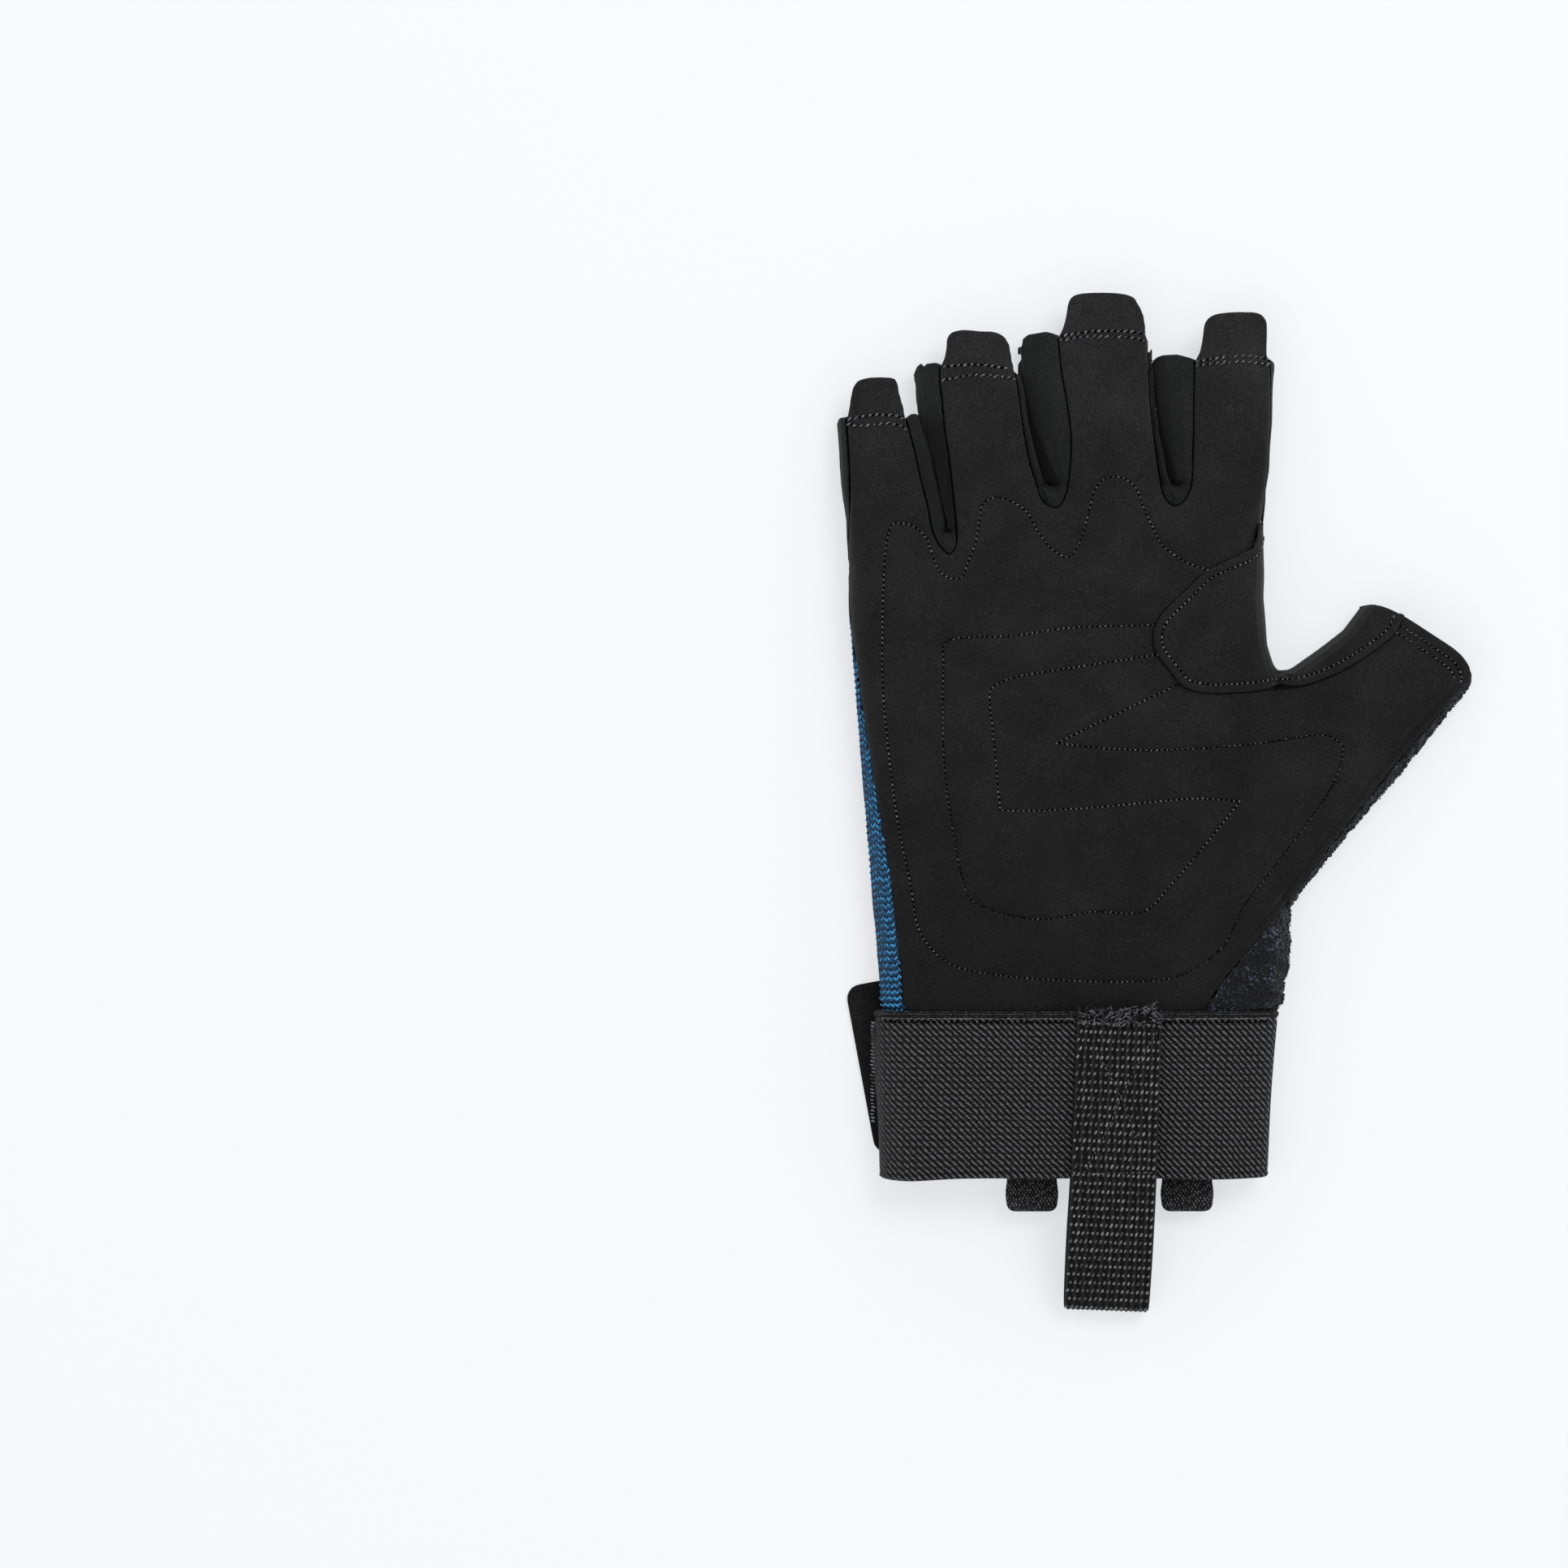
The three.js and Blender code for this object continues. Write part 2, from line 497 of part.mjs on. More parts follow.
const takenAbove = [
  palmOutline,
  littleSideOutline,
  indexSideOutline,
  ...Object.values(notches).map(([a, b, crotch]) => notchEdge(a, b, crotch)),
]
  .map((outline) => prism(offset(outline, half)))
  .reduce((all, one) => all.add(one))
  .intersect(aboveParting(-half));
const lower = shell.subtract(takenAbove);
add("back_panel", geometryOf(lower.subtract(prism(offset(terryOutline, half)))), knit);
add("thumb_terry_panel", geometryOf(lower.intersect(prism(offset(terryOutline, -half)))), terry);

// The gusset patch lies over the palm and wraps round the fold between index finger and thumb.
const patch = gloveForm(seamGap + patchCloth)
  .subtract(gloveForm(seamGap))
  .subtract(prism(thumbEndOutline))
  .intersect(prism(patchOutline))
  .intersect(aboveParting(half));
add("gusset_patch", geometryOf(patch), suede);

// Each pull tab starts under the palm panel's end.
for (const tab of tabs) {
  const lift = seamGap + cloth;
  const reach = tab.tip - tab.y + 2;
  const layer = tube(fingers[tab.finger], { grow: -lift, reachEnd: reach })
    .subtract(tube(fingers[tab.finger], { grow: -lift - tabCloth, reachEnd: reach + 2 }));
  const shape = new THREE.Shape();
  shape.moveTo(tab.baseLeft, tab.y - tabRoot);
  shape.lineTo(tab.baseRight, tab.y - tabRoot);
  shape.lineTo(tab.baseRight, tab.y);
  shape.lineTo(tab.tipRight, tab.tip - tabCorner);
  shape.quadraticCurveTo(tab.tipRight, tab.tip, tab.tipRight - tabCorner, tab.tip);
  shape.lineTo(tab.tipLeft + tabCorner, tab.tip);
  shape.quadraticCurveTo(tab.tipLeft, tab.tip, tab.tipLeft, tab.tip - tabCorner);
  shape.lineTo(tab.baseLeft, tab.y);
  const outline = shape.getPoints(4).map((p) => [p.x, p.y]);
  add("pull_tab_" + tab.finger, geometryOf(layer.intersect(prism(outline, tabFloor))), suede);
}

// The cuff band runs from the little-finger side over the palm, round the thumb side and across the back.
const cuffSteps = 34;
const cuffOutline = stripOutline(cuffPath, elastic, cuffSteps);
const cuffStations = 5;
const cuffRings = Array.from({ length: cuffStations }, (_, i) => {
  const share = i / (cuffStations - 1);
  const narrow = THREE.MathUtils.lerp(1, cuffTaper, share);
  const y = THREE.MathUtils.lerp(cuffTop, cuffBottom, share);
  return cuffOutline.map((p) => new THREE.Vector3(cuffMiddle + (p.x - cuffMiddle) * narrow, y, p.y));
});
add("cuff_band", geometryOf(solid(loft(cuffRings, cuffOutline))), elasticTwill);

const closure = add("closure_tab", roundedPlate({
  ...closureTab,
  left: 0,
  right: closureTab.right - closureTab.left,
  bottom: closureTab.bottom - closureTab.top,
  top: 0,
}), suede);
closure.position.set(closureTab.left, closureTab.top, 0);
closure.rotation.z = THREE.MathUtils.degToRad(closureTab.turn);
add("closure_pile", roundedPlate(pileStrip), pile);

const clipPath = clipLoop.path.map(([y, z]) => [y - cuffTop, z]);
const clipSteps = 44;
const clipGeometry = standing(stripOutline(clipPath, webbing, clipSteps), clipLoop.width);
const loop = add("clip_loop", clipGeometry.translate(-clipLoop.width / 2, 0, 0), nylon);
loop.position.set(clipLoop.at[0], cuffTop, 0);
loop.rotation.z = THREE.MathUtils.degToRad(clipLoop.turn);

const hangSteps = 22;

for (const { name, left, base } of hangLoops) {
  const hang = add(name, standing(stripOutline(hangLoopPath, ribbon, hangSteps), hangLoopWidth), nylon);
  hang.position.set(left, 0, base);
}

export default glove;
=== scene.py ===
import math
import bpy
import bmesh
import numpy as np
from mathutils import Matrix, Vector, geometry, kdtree, noise
from mathutils.bvhtree import BVHTree


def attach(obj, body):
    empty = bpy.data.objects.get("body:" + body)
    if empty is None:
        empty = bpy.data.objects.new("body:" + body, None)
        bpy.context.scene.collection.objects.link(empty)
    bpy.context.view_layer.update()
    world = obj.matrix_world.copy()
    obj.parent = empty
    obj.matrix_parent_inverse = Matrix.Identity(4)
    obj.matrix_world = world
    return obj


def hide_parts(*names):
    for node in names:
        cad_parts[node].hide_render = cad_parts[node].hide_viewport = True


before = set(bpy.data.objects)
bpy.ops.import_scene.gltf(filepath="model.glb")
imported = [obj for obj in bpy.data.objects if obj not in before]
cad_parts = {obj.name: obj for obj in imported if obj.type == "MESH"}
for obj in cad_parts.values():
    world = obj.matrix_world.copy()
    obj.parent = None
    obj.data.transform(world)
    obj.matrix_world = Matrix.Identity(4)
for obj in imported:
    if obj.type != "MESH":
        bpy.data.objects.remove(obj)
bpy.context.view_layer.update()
bpy.context.scene.view_settings.view_transform = "Standard"  # plain studio colours, with no film curve
mm = 0.001  # every table below is in millimetres, and every mesh in metres
print("frame loaded")


# Colour and node helpers

def hexLinear(code):
    parts = [int(code[i:i + 2], 16) / 255 for i in (1, 3, 5)]
    return [c / 12.92 if c <= 0.04045 else ((c + 0.055) / 1.055) ** 2.4 for c in parts] + [1.0]


# inputs gives values by socket name or number, or links as (node, output); settings are the node's own
def addNode(tree, kind, inputs=None, **settings):
    node = tree.nodes.new(kind)
    for key, value in settings.items():
        setattr(node, key, value)
    for key, value in (inputs or {}).items():
        if isinstance(value, tuple) and isinstance(value[0], bpy.types.Node):
            tree.links.new(value[0].outputs[value[1]], node.inputs[key])
        else:
            node.inputs[key].default_value = value
    return node


# A math node's output; the values are numbers or (node, output) links
def sums(tree, operation, *values):
    return addNode(tree, "ShaderNodeMath", dict(enumerate(values)), operation=operation), 0


# A row of round humps, one to a pitch
def humps(tree, value, pitch):
    share = sums(tree, "FRACT", sums(tree, "MULTIPLY", value, 1 / (pitch * mm)))
    return sums(tree, "SINE", sums(tree, "MULTIPLY", share, math.pi))


def addObject(name, data):
    thing = bpy.data.objects.new(name, data)
    bpy.context.scene.collection.objects.link(thing)
    return thing


def newMaterial(name):
    material = bpy.data.materials.new(name)
    material.use_nodes = True
    material.node_tree.nodes.clear()
    return material, material.node_tree


# stops is a list of (position, hex colour)
def addRamp(tree, source, stops, interpolation="LINEAR"):
    node = tree.nodes.new("ShaderNodeValToRGB")
    node.color_ramp.interpolation = interpolation
    while len(node.color_ramp.elements) < len(stops):
        node.color_ramp.elements.new(0.5)
    for element, (place, colour) in zip(node.color_ramp.elements, stops):
        element.position = place
        element.color = hexLinear(colour)
    tree.links.new(source[0].outputs[source[1]], node.inputs["Fac"])
    return node


def endMaterial(tree, colour, bump=None, strength=0.5, distance=0.0003, **sockets):
    shader = addNode(tree, "ShaderNodeBsdfPrincipled", {"Base Color": colour})
    for key, value in sockets.items():
        shader.inputs[key.replace("_", " ")].default_value = value
    if bump:
        node = addNode(tree, "ShaderNodeBump", {"Height": bump, "Strength": strength, "Distance": distance})
        tree.links.new(node.outputs["Normal"], shader.inputs["Normal"])
    out = tree.nodes.new("ShaderNodeOutputMaterial")
    tree.links.new(shader.outputs["BSDF"], out.inputs["Surface"])
    return shader


# Materials

suedeLook = {
    "dark": "#101011", "light": "#1c1c1d", "worn": "#2b2b2c",
    "napGrain": 0.32,  # mm, one tuft of nap, drawn coarser than the real 0.05 mm so that it shows
    "mottle": 14.0,  # mm, where the nap lies another way
    # painted light: how light the suede is made there, darker at the wrist and paler towards the
    # fingertips, as the light falls
    "wrist": 0.68, "knuckles": 0.97, "tips": 1.4,
}


# microfibre suede, brushed: no gloss, a soft mottle where the nap turns, a faint sheen at low angles
def makeSuede(name, look, seed):
    material, tree = newMaterial(name)
    place = addNode(tree, "ShaderNodeTexCoord")
    shifted = addNode(tree, "ShaderNodeMapping",
                      {"Vector": (place, "Object"), "Location": (seed, seed * 0.7, 0)})
    mottle = addNode(tree, "ShaderNodeTexNoise", {
        "Vector": (shifted, 0), "Scale": 1 / (look["mottle"] * mm), "Detail": 4.0, "Roughness": 0.6})
    nap = addNode(tree, "ShaderNodeTexNoise", {
        "Vector": (shifted, 0), "Scale": 1 / (look["napGrain"] * mm), "Detail": 3.0, "Roughness": 0.7})
    both = sums(tree, "MULTIPLY", (mottle, "Fac"), 0.25)
    both = sums(tree, "MULTIPLY_ADD", (nap, "Fac"), 0.75, both)
    base = addRamp(tree, both, [(0.38, look["dark"]), (0.5, look["light"]), (0.62, look["worn"])])
    axes = addNode(tree, "ShaderNodeSeparateXYZ", {"Vector": (place, "Object")})
    # painted light: the colour is scaled along the hand, darker towards the wrist and paler towards the
    # fingertips
    low = addNode(tree, "ShaderNodeMapRange", {
        "Value": (axes, "Y"), "From Min": -45 * mm, "From Max": 45 * mm, "To Min": look["wrist"],
        "To Max": look["knuckles"]})
    high = addNode(tree, "ShaderNodeMapRange", {
        "Value": (axes, "Y"), "From Min": 72 * mm, "From Max": 104 * mm, "To Min": 1.0,
        "To Max": look["tips"]})
    rubbedAndLit = sums(tree, "MULTIPLY", (low, 0), (high, 0))
    # 0 to 1: painted shade, where the finger walls lie in shadow
    down = addNode(tree, "ShaderNodeAttribute", attribute_name="paintedShade")
    lit = sums(tree, "SUBTRACT", 1.0, (down, "Fac"))
    rubbedAndLit = sums(tree, "MULTIPLY", rubbedAndLit, lit)
    colour = addNode(tree, "ShaderNodeVectorMath", {0: (base, "Color"), "Scale": rubbedAndLit}, operation="SCALE")
    endMaterial(tree, (colour, 0), (nap, "Fac"), 0.6, 0.00014,
                Roughness=0.95, Sheen_Weight=0.06, Sheen_Roughness=0.5, Specular_IOR_Level=0.12)
    return material


threadLook = {"shade": "#2a2a2c", "light": "#7c7c81", "twist": 0.5, "gloss": 0.15}


# polyester sewing thread, twisted: small painted glints on a dark round body
def makeThread(name, look):
    material, tree = newMaterial(name)
    place = addNode(tree, "ShaderNodeTexCoord")
    grain = addNode(tree, "ShaderNodeTexNoise", {
        "Vector": (place, "Object"), "Scale": 1 / (look["twist"] * mm), "Detail": 1.0})
    colour = addRamp(tree, (grain, "Fac"), [(0.38, look["shade"]), (0.62, look["light"])])
    endMaterial(tree, (colour, "Color"), (grain, "Fac"), 0.4, 0.0001, Roughness=0.5,
                Specular_IOR_Level=look.get("gloss", 0.5))
    return material


knitLook = {
    "valley": "#031a2e", "body": "#0b3455", "crest": "#1f6896",
    "wale": 1.15, "course": 1.5,  # mm, width and height of one V of the knit, counted on the photo's strip
}


# acrylic rib knit: rows of small V loops in deep blue, with painted highlights on their crests and painted
# shade between
def makeKnit(name, look):
    material, tree = newMaterial(name)
    weave = addNode(tree, "ShaderNodeUVMap", uv_map="weave")
    axes = addNode(tree, "ShaderNodeSeparateXYZ", {"Vector": (weave, "UV")})
    across = sums(tree, "MULTIPLY", (axes, "X"), 1 / (look["wale"] * mm))
    up = sums(tree, "MULTIPLY", (axes, "Y"), 1 / (look["course"] * mm))
    # distance from the middle of a wale, 0 to 0.5
    saw = sums(tree, "FRACT", across)
    half = sums(tree, "SUBTRACT", saw, 0.5)
    side = sums(tree, "ABSOLUTE", half)
    # the legs of a V climb outwards
    slant = sums(tree, "MULTIPLY_ADD", side, 1.1, up)
    wave = sums(tree, "MULTIPLY", slant, 2 * math.pi)
    leg = sums(tree, "SINE", wave)
    legUp = sums(tree, "MULTIPLY_ADD", leg, 0.5, 0.5)
    # each leg is round across: highest between the middle and the border of the wale
    arc = sums(tree, "MULTIPLY", side, 2 * math.pi)
    roundness = sums(tree, "SINE", arc)
    height = sums(tree, "MULTIPLY", legUp, roundness)
    # painted light: the colour follows the height, paler on the crests and darker in the valleys
    colour = addRamp(tree, height, [(0.0, look["valley"]), (0.35, look["body"]), (0.9, look["crest"])])
    endMaterial(tree, (colour, "Color"), height, 0.9, 0.0004,
                Roughness=0.85, Sheen_Weight=0.05, Sheen_Roughness=0.5, Specular_IOR_Level=0.2)
    return material


terryLook = {"dark": "#07080c", "body": "#1c1d29", "tip": "#666a80", "loop": 0.8, "band": 2.6}


# cotton terry: a pile of little navy loops with pale tips, so the surface looks grainy and never shines
def makeTerry(name, look):
    material, tree = newMaterial(name)
    place = addNode(tree, "ShaderNodeTexCoord")
    cells = addNode(tree, "ShaderNodeTexVoronoi", {
        "Vector": (place, "Object"), "Scale": 1 / (look["loop"] * mm), "Randomness": 1.0}, feature="F1")
    fuzz = addNode(tree, "ShaderNodeTexNoise", {
        "Vector": (place, "Object"), "Scale": 2.5 / (look["loop"] * mm), "Detail": 3.0})
    # the pile is brushed into bands that slant up towards the thumb
    brushed = addNode(tree, "ShaderNodeMapping",
                      {"Vector": (place, "Object"), "Rotation": (0, 0, math.radians(-52)),
                       "Scale": (0.3, 1.0, 1.0)})
    bands = addNode(tree, "ShaderNodeTexNoise",
                    {"Vector": (brushed, 0), "Scale": 1 / (look["band"] * mm), "Detail": 3.0,
                     "Roughness": 0.65})
    spread = sums(tree, "MULTIPLY_ADD", (bands, "Fac"), 1.3, -0.65)
    mixed = sums(tree, "SUBTRACT", (fuzz, "Fac"), (cells, "Distance"))
    toned = sums(tree, "ADD", mixed, spread)
    colour = addRamp(tree, toned, [(0.0, look["dark"]), (0.25, look["body"]), (0.6, look["tip"])])
    endMaterial(tree, (colour, "Color"), mixed, 1.0, 0.0005,
                Roughness=1.0, Sheen_Weight=0.12, Sheen_Roughness=0.6, Specular_IOR_Level=0.1)
    return material


twillLook = {
    "valley": "#010101", "body": "#1a1a1b", "crest": "#646467",
    # mm between ribs, mm between weft rows, degrees below level
    "pitch": 1.09, "pick": 1.47, "slant": 44.0,
    "selvage": 1.6, "selvagePitch": 0.55, "worn": 4.0,  # mm of upper edge, its rows, and of rubbed end
}


# polyester and rubber elastic, woven in twill: slanting ropes of short floats, with painted glints on them
# and painted shade, near black, between
def makeTwill(name, look, top):
    material, tree = newMaterial(name)
    weave = addNode(tree, "ShaderNodeUVMap", uv_map="weave")
    wander = addNode(tree, "ShaderNodeTexNoise", {"Vector": (weave, "UV"), "Scale": 90.0, "Detail": 2.0})
    bend = sums(tree, "MULTIPLY", sums(tree, "SUBTRACT", (wander, "Fac"), 0.5), 1.2 * mm)
    axes = addNode(tree, "ShaderNodeSeparateXYZ", {"Vector": (weave, "UV")})
    angle = math.radians(look["slant"])
    across = sums(tree, "MULTIPLY_ADD", (axes, "Y"), math.cos(angle),
                  sums(tree, "MULTIPLY_ADD", (axes, "X"), math.sin(angle), bend))
    ribHeight = humps(tree, across, look["pitch"])
    # each weft row nips the ribs a little
    pickHeight = humps(tree, (axes, "Y"), look["pick"])
    ropes = sums(tree, "MULTIPLY", sums(tree, "MULTIPLY_ADD", pickHeight, 0.3, 0.7), ribHeight)
    # the selvage: fine rows that run level
    rows = sums(tree, "SINE",
                sums(tree, "MULTIPLY", (axes, "Y"), 2 * math.pi / (look["selvagePitch"] * mm)))
    level = sums(tree, "MULTIPLY_ADD", rows, 0.3, sums(tree, "MULTIPLY_ADD", pickHeight, 0.25, 0.3))
    inSelvage = sums(tree, "GREATER_THAN", (axes, "Y"), (top - look["selvage"]) * mm)
    woven = addNode(tree, "ShaderNodeMix", {"Factor": inSelvage, 2: ropes, 3: level}, data_type="FLOAT")
    # the folded end is rubbed flat
    rubbedAndLit = addNode(tree, "ShaderNodeMapRange",
                     {"Value": (axes, "X"), "From Min": 4 * mm, "From Max": (4 + look["worn"]) * mm,
                                                  "To Min": 0.55, "To Max": 0.0})
    height = addNode(tree, "ShaderNodeMix", {"Factor": (rubbedAndLit, 0), 2: (woven, 0), 3: 0.62},
                     data_type="FLOAT")
    # short strands lie across each rib like those of a rope
    strand = addNode(tree, "ShaderNodeMapping",
                     {"Vector": (weave, "UV"), "Rotation": (0, 0, math.radians(-50)),
                      "Scale": (1.0, 2.6, 1.0)})
    speck = addNode(tree, "ShaderNodeTexNoise",
                    {"Vector": (strand, 0), "Scale": 1 / (0.7 * mm), "Detail": 2.0, "Roughness": 0.7})
    tone = sums(tree, "ADD", sums(tree, "MULTIPLY_ADD", (speck, "Fac"), 1.5, -0.75), (height, 0))
    # painted light: the colour follows the height, glinting on the crests and near black in the valleys
    colour = addRamp(tree, tone, [(0.42, look["valley"]), (0.7, look["body"]), (1.0, look["crest"])])
    endMaterial(tree, (colour, "Color"), (height, 0), 1.0, 0.0006, Roughness=0.65, Specular_IOR_Level=0.2)
    return material


webbingLook = {"dark": "#030303", "body": "#1d1d1e", "rib": 1.9}


# nylon webbing, tightly woven: near-black ribs across the strap, with painted shade in the grooves between
# them
def makeWebbing(name, look):
    material, tree = newMaterial(name)
    weave = addNode(tree, "ShaderNodeUVMap", uv_map="weave")
    axes = addNode(tree, "ShaderNodeSeparateXYZ", {"Vector": (weave, "UV")})
    turn = sums(tree, "MULTIPLY", (axes, "Y"), 2 * math.pi / (look["rib"] * mm))
    rib = sums(tree, "COSINE", turn)
    ribUp = sums(tree, "MULTIPLY_ADD", rib, 0.5, 0.5)
    grain = addNode(tree, "ShaderNodeTexNoise",
                    {"Vector": (weave, "UV"), "Scale": 1 / (0.4 * mm), "Detail": 2.0})
    both = sums(tree, "MULTIPLY_ADD", (grain, "Fac"), 0.4, ribUp)
    colour = addRamp(tree, both, [(0.7, look["dark"]), (1.1, look["body"])])
    endMaterial(tree, (colour, "Color"), both, 0.8, 0.0004, Roughness=0.7, Specular_IOR_Level=0.15)
    return material


ribbonLook = {"dark": "#020203", "body": "#141416", "speck": "#78787c", "stitch": 0.85}


# knit polyester ribbon: tiny slanting loops, black with grey specks
def makeRibbon(name, look):
    material, tree = newMaterial(name)
    weave = addNode(tree, "ShaderNodeUVMap", uv_map="weave")
    turned = addNode(tree, "ShaderNodeMapping",
                     {"Vector": (weave, "UV"), "Rotation": (0, 0, math.radians(40)),
                      "Scale": (1.0, 1.6, 1.0)})
    cells = addNode(tree, "ShaderNodeTexVoronoi", {
        "Vector": (turned, 0), "Scale": 1 / (look["stitch"] * mm), "Randomness": 0.35}, feature="F1")
    raised = sums(tree, "SUBTRACT", 1.0, (cells, "Distance"))
    colour = addRamp(tree, raised, [(0.4, look["dark"]), (0.6, look["body"]), (0.9, look["speck"])])
    endMaterial(tree, (colour, "Color"), raised, 1.0, 0.0004, Roughness=0.7, Specular_IOR_Level=0.2)
    return material


hookLook = {"body": "#17171a", "edge": "#34343a", "hook": 1.4}


# nylon hook tape, extruded: a smooth translucent-looking edge that catches the light
def makeHookTape(name, look):
    material, tree = newMaterial(name)
    place = addNode(tree, "ShaderNodeTexCoord")
    cells = addNode(tree, "ShaderNodeTexVoronoi", {
        "Vector": (place, "Object"), "Scale": 1 / (look["hook"] * mm), "Randomness": 0.8}, feature="F1")
    colour = addRamp(tree, (cells, "Distance"), [(0.1, look["edge"]), (0.35, look["body"])])
    endMaterial(tree, (colour, "Color"), (cells, "Distance"), 0.6, 0.0004, Roughness=0.3,
                Specular_IOR_Level=0.5)
    return material


suede = makeSuede("microfibre_suede_brushed", suedeLook, 0.0)
# the walls' suede: a slightly darker copy of the same cloth, painted shade for walls that turn away from
# the light
suedeSide = makeSuede("microfibre_suede_walls",
                      dict(suedeLook, dark="#0f0f10", light="#191a1a", worn="#272728"), 0.31)
thread = makeThread("polyester_thread_twisted", threadLook)
# near-black thread: the dark frayed yarns, and painted shade in the needle holes and sunk seams
darkThreadAndShade = makeThread("polyester_thread_dark_and_painted_shade",
                        {"shade": "#040404", "light": "#0b0b0c", "twist": 0.45, "gloss": 0.0})
threadPale = makeThread("nylon_thread_pale",
                        {"shade": "#303032", "light": "#7e7e83", "twist": 0.6, "gloss": 0.15})
knit = makeKnit("acrylic_rib_knit", knitLook)
terry = makeTerry("cotton_terry_looped", terryLook)
twill = makeTwill("elastic_twill_woven", twillLook, 19.05)
webbing = makeWebbing("nylon_webbing_woven", webbingLook)
ribbon = makeRibbon("polyester_ribbon_knitted", ribbonLook)
hookTape = makeHookTape("nylon_hook_tape", hookLook)
hookEdge = makeThread("nylon_hook_edge_glinting", {"shade": "#3a3a40", "light": "#a8a8b2", "twist": 2.2})
webbingYarn = makeThread("nylon_yarn_webbing", {"shade": "#232324", "light": "#7e7e81", "twist": 0.9})
knitYarn = makeThread("acrylic_yarn_blue", {"shade": "#0b436d", "light": "#3596d0", "twist": 1.2})
cuffYarn = makeThread("elastic_yarn_pale", {"shade": "#303031", "light": "#6a6a6d", "twist": 0.8})
print("materials made")


# Section tables of the hollow form, as in the solids. A row is one cross-section: its two folds seen from
# above, how far the wall leans in from each, and the heights of its underside and top.

def named(columns, rows):
    return [dict(zip(columns, row)) for row in rows]


foldHeight = 1.6
crown = 0.7
halvings = 16  # steps in the search for a point's place along a tube
hand = named(
    ["yLeft", "yRight", "left", "right", "leanLeft", "leanRight", "floor", "top", "panelInset"],
    [
        [-56.0, -56.0, -58.8, 22.8, 5.0, 9.0, 3.7, 12.1, 4.5],
        [-47.2, -47.2, -59.0, 23.2, 5.0, 9.0, 3.7, 12.4, 4.5],
        [-45.4, -45.4, -62.4, 28.2, 5.0, 5.0, 2.4, 12.6, 4.8],
        [-37.3, -37.3, -63.1, 31.0, 5.5, 5.5, 2.0, 12.8, 5.4],
        [-29.0, -29.0, -63.8, 31.2, 6.0, 6.0, 0.0, 12.9, 5.5],
        [-16.0, -16.0, -65.0, 31.2, 6.0, 6.0, 0.0, 13.2, 5.0],
        [0.0, 0.0, -66.3, 31.0, 6.0, 6.0, 0.0, 13.6, 3.6],
        [16.0, 16.0, -67.6, 30.2, 6.0, 6.0, 0.0, 13.5, 2.2],
        [27.0, 27.0, -68.5, 27.8, 5.5, 5.5, 0.0, 13.3, 1.4],
        [36.0, 36.0, -69.2, 25.0, 5.0, 5.0, 0.0, 13.1, 1.0],
        [42.0, 47.0, -69.7, 23.9, 4.5, 4.5, 0.0, 12.9, 0.8],
        [47.0, 57.0, -70.0, 23.5, 4.0, 4.0, 0.0, 12.6, 0.8],
        [50.0, 64.0, -70.1, 23.7, 3.5, 3.5, 0.0, 11.9, 0.8],
        [51.2, 67.4, -70.2, 24.2, 3.0, 3.0, 0.0, 10.4, 0.8],
        [52.0, 69.0, -70.2, 24.4, 3.0, 3.0, 0.0, 7.5, 0.8],
    ])
fingerColumns = ["y", "left", "right", "leanLeft", "leanRight", "top"]
fingers = {
    "little": named(fingerColumns, [
        [42.0, -69.3, -47.0, 3.0, 3.0, 11.6], [53.4, -69.9, -47.2, 2.4, 3.0, 11.6],
        [64.5, -70.6, -47.8, 1.8, 3.3, 11.4],
        [71.9, -71.5, -49.4, 2.2, 3.9, 11.0], [79.4, -72.2, -51.3, 2.6, 3.5, 10.6],
        [87.7, -72.6, -53.1, 2.8, 3.4, 10.2]]),
    "ring": named(fingerColumns, [
        [42.0, -46.6, -22.2, 2.5, 2.5, 11.9], [53.4, -46.8, -22.4, 2.0, 2.0, 11.9],
        [64.5, -47.4, -23.1, 2.0, 2.1, 11.7],
        [71.9, -48.9, -25.6, 2.4, 2.2, 11.4], [79.4, -50.6, -27.6, 3.4, 2.2, 11.1],
        [90.5, -53.0, -29.8, 4.9, 1.9, 10.8],
        [99.2, -54.1, -31.1, 5.4, 1.7, 10.6]]),
    "middle": named(fingerColumns, [
        [48.0, -22.0, 5.2, 2.5, 2.5, 12.0], [60.0, -22.6, 4.9, 2.5, 2.0, 11.9],
        [69.2, -23.5, 4.3, 4.2, 2.1, 11.7],
        [76.0, -25.4, 2.4, 6.5, 2.2, 11.4], [86.4, -28.5, 0.0, 8.9, 2.0, 11.1],
        [96.9, -29.8, -0.9, 9.1, 1.6, 10.9],
        [106.8, -30.4, -1.1, 8.5, 1.6, 10.8]]),
    "index": named(fingerColumns, [
        [48.0, 5.4, 22.0, 2.5, 2.5, 11.8], [60.0, 5.2, 23.2, 2.2, 2.5, 11.8],
        [69.2, 4.8, 25.4, 3.0, 1.8, 11.6],
        [76.0, 3.5, 26.4, 5.4, 1.7, 11.3], [86.4, 1.5, 27.1, 7.8, 1.6, 11.0],
        [94.2, 0.6, 27.4, 8.8, 1.6, 10.8],
        [102.0, -0.2, 27.6, 9.8, 1.6, 10.6]]),
}
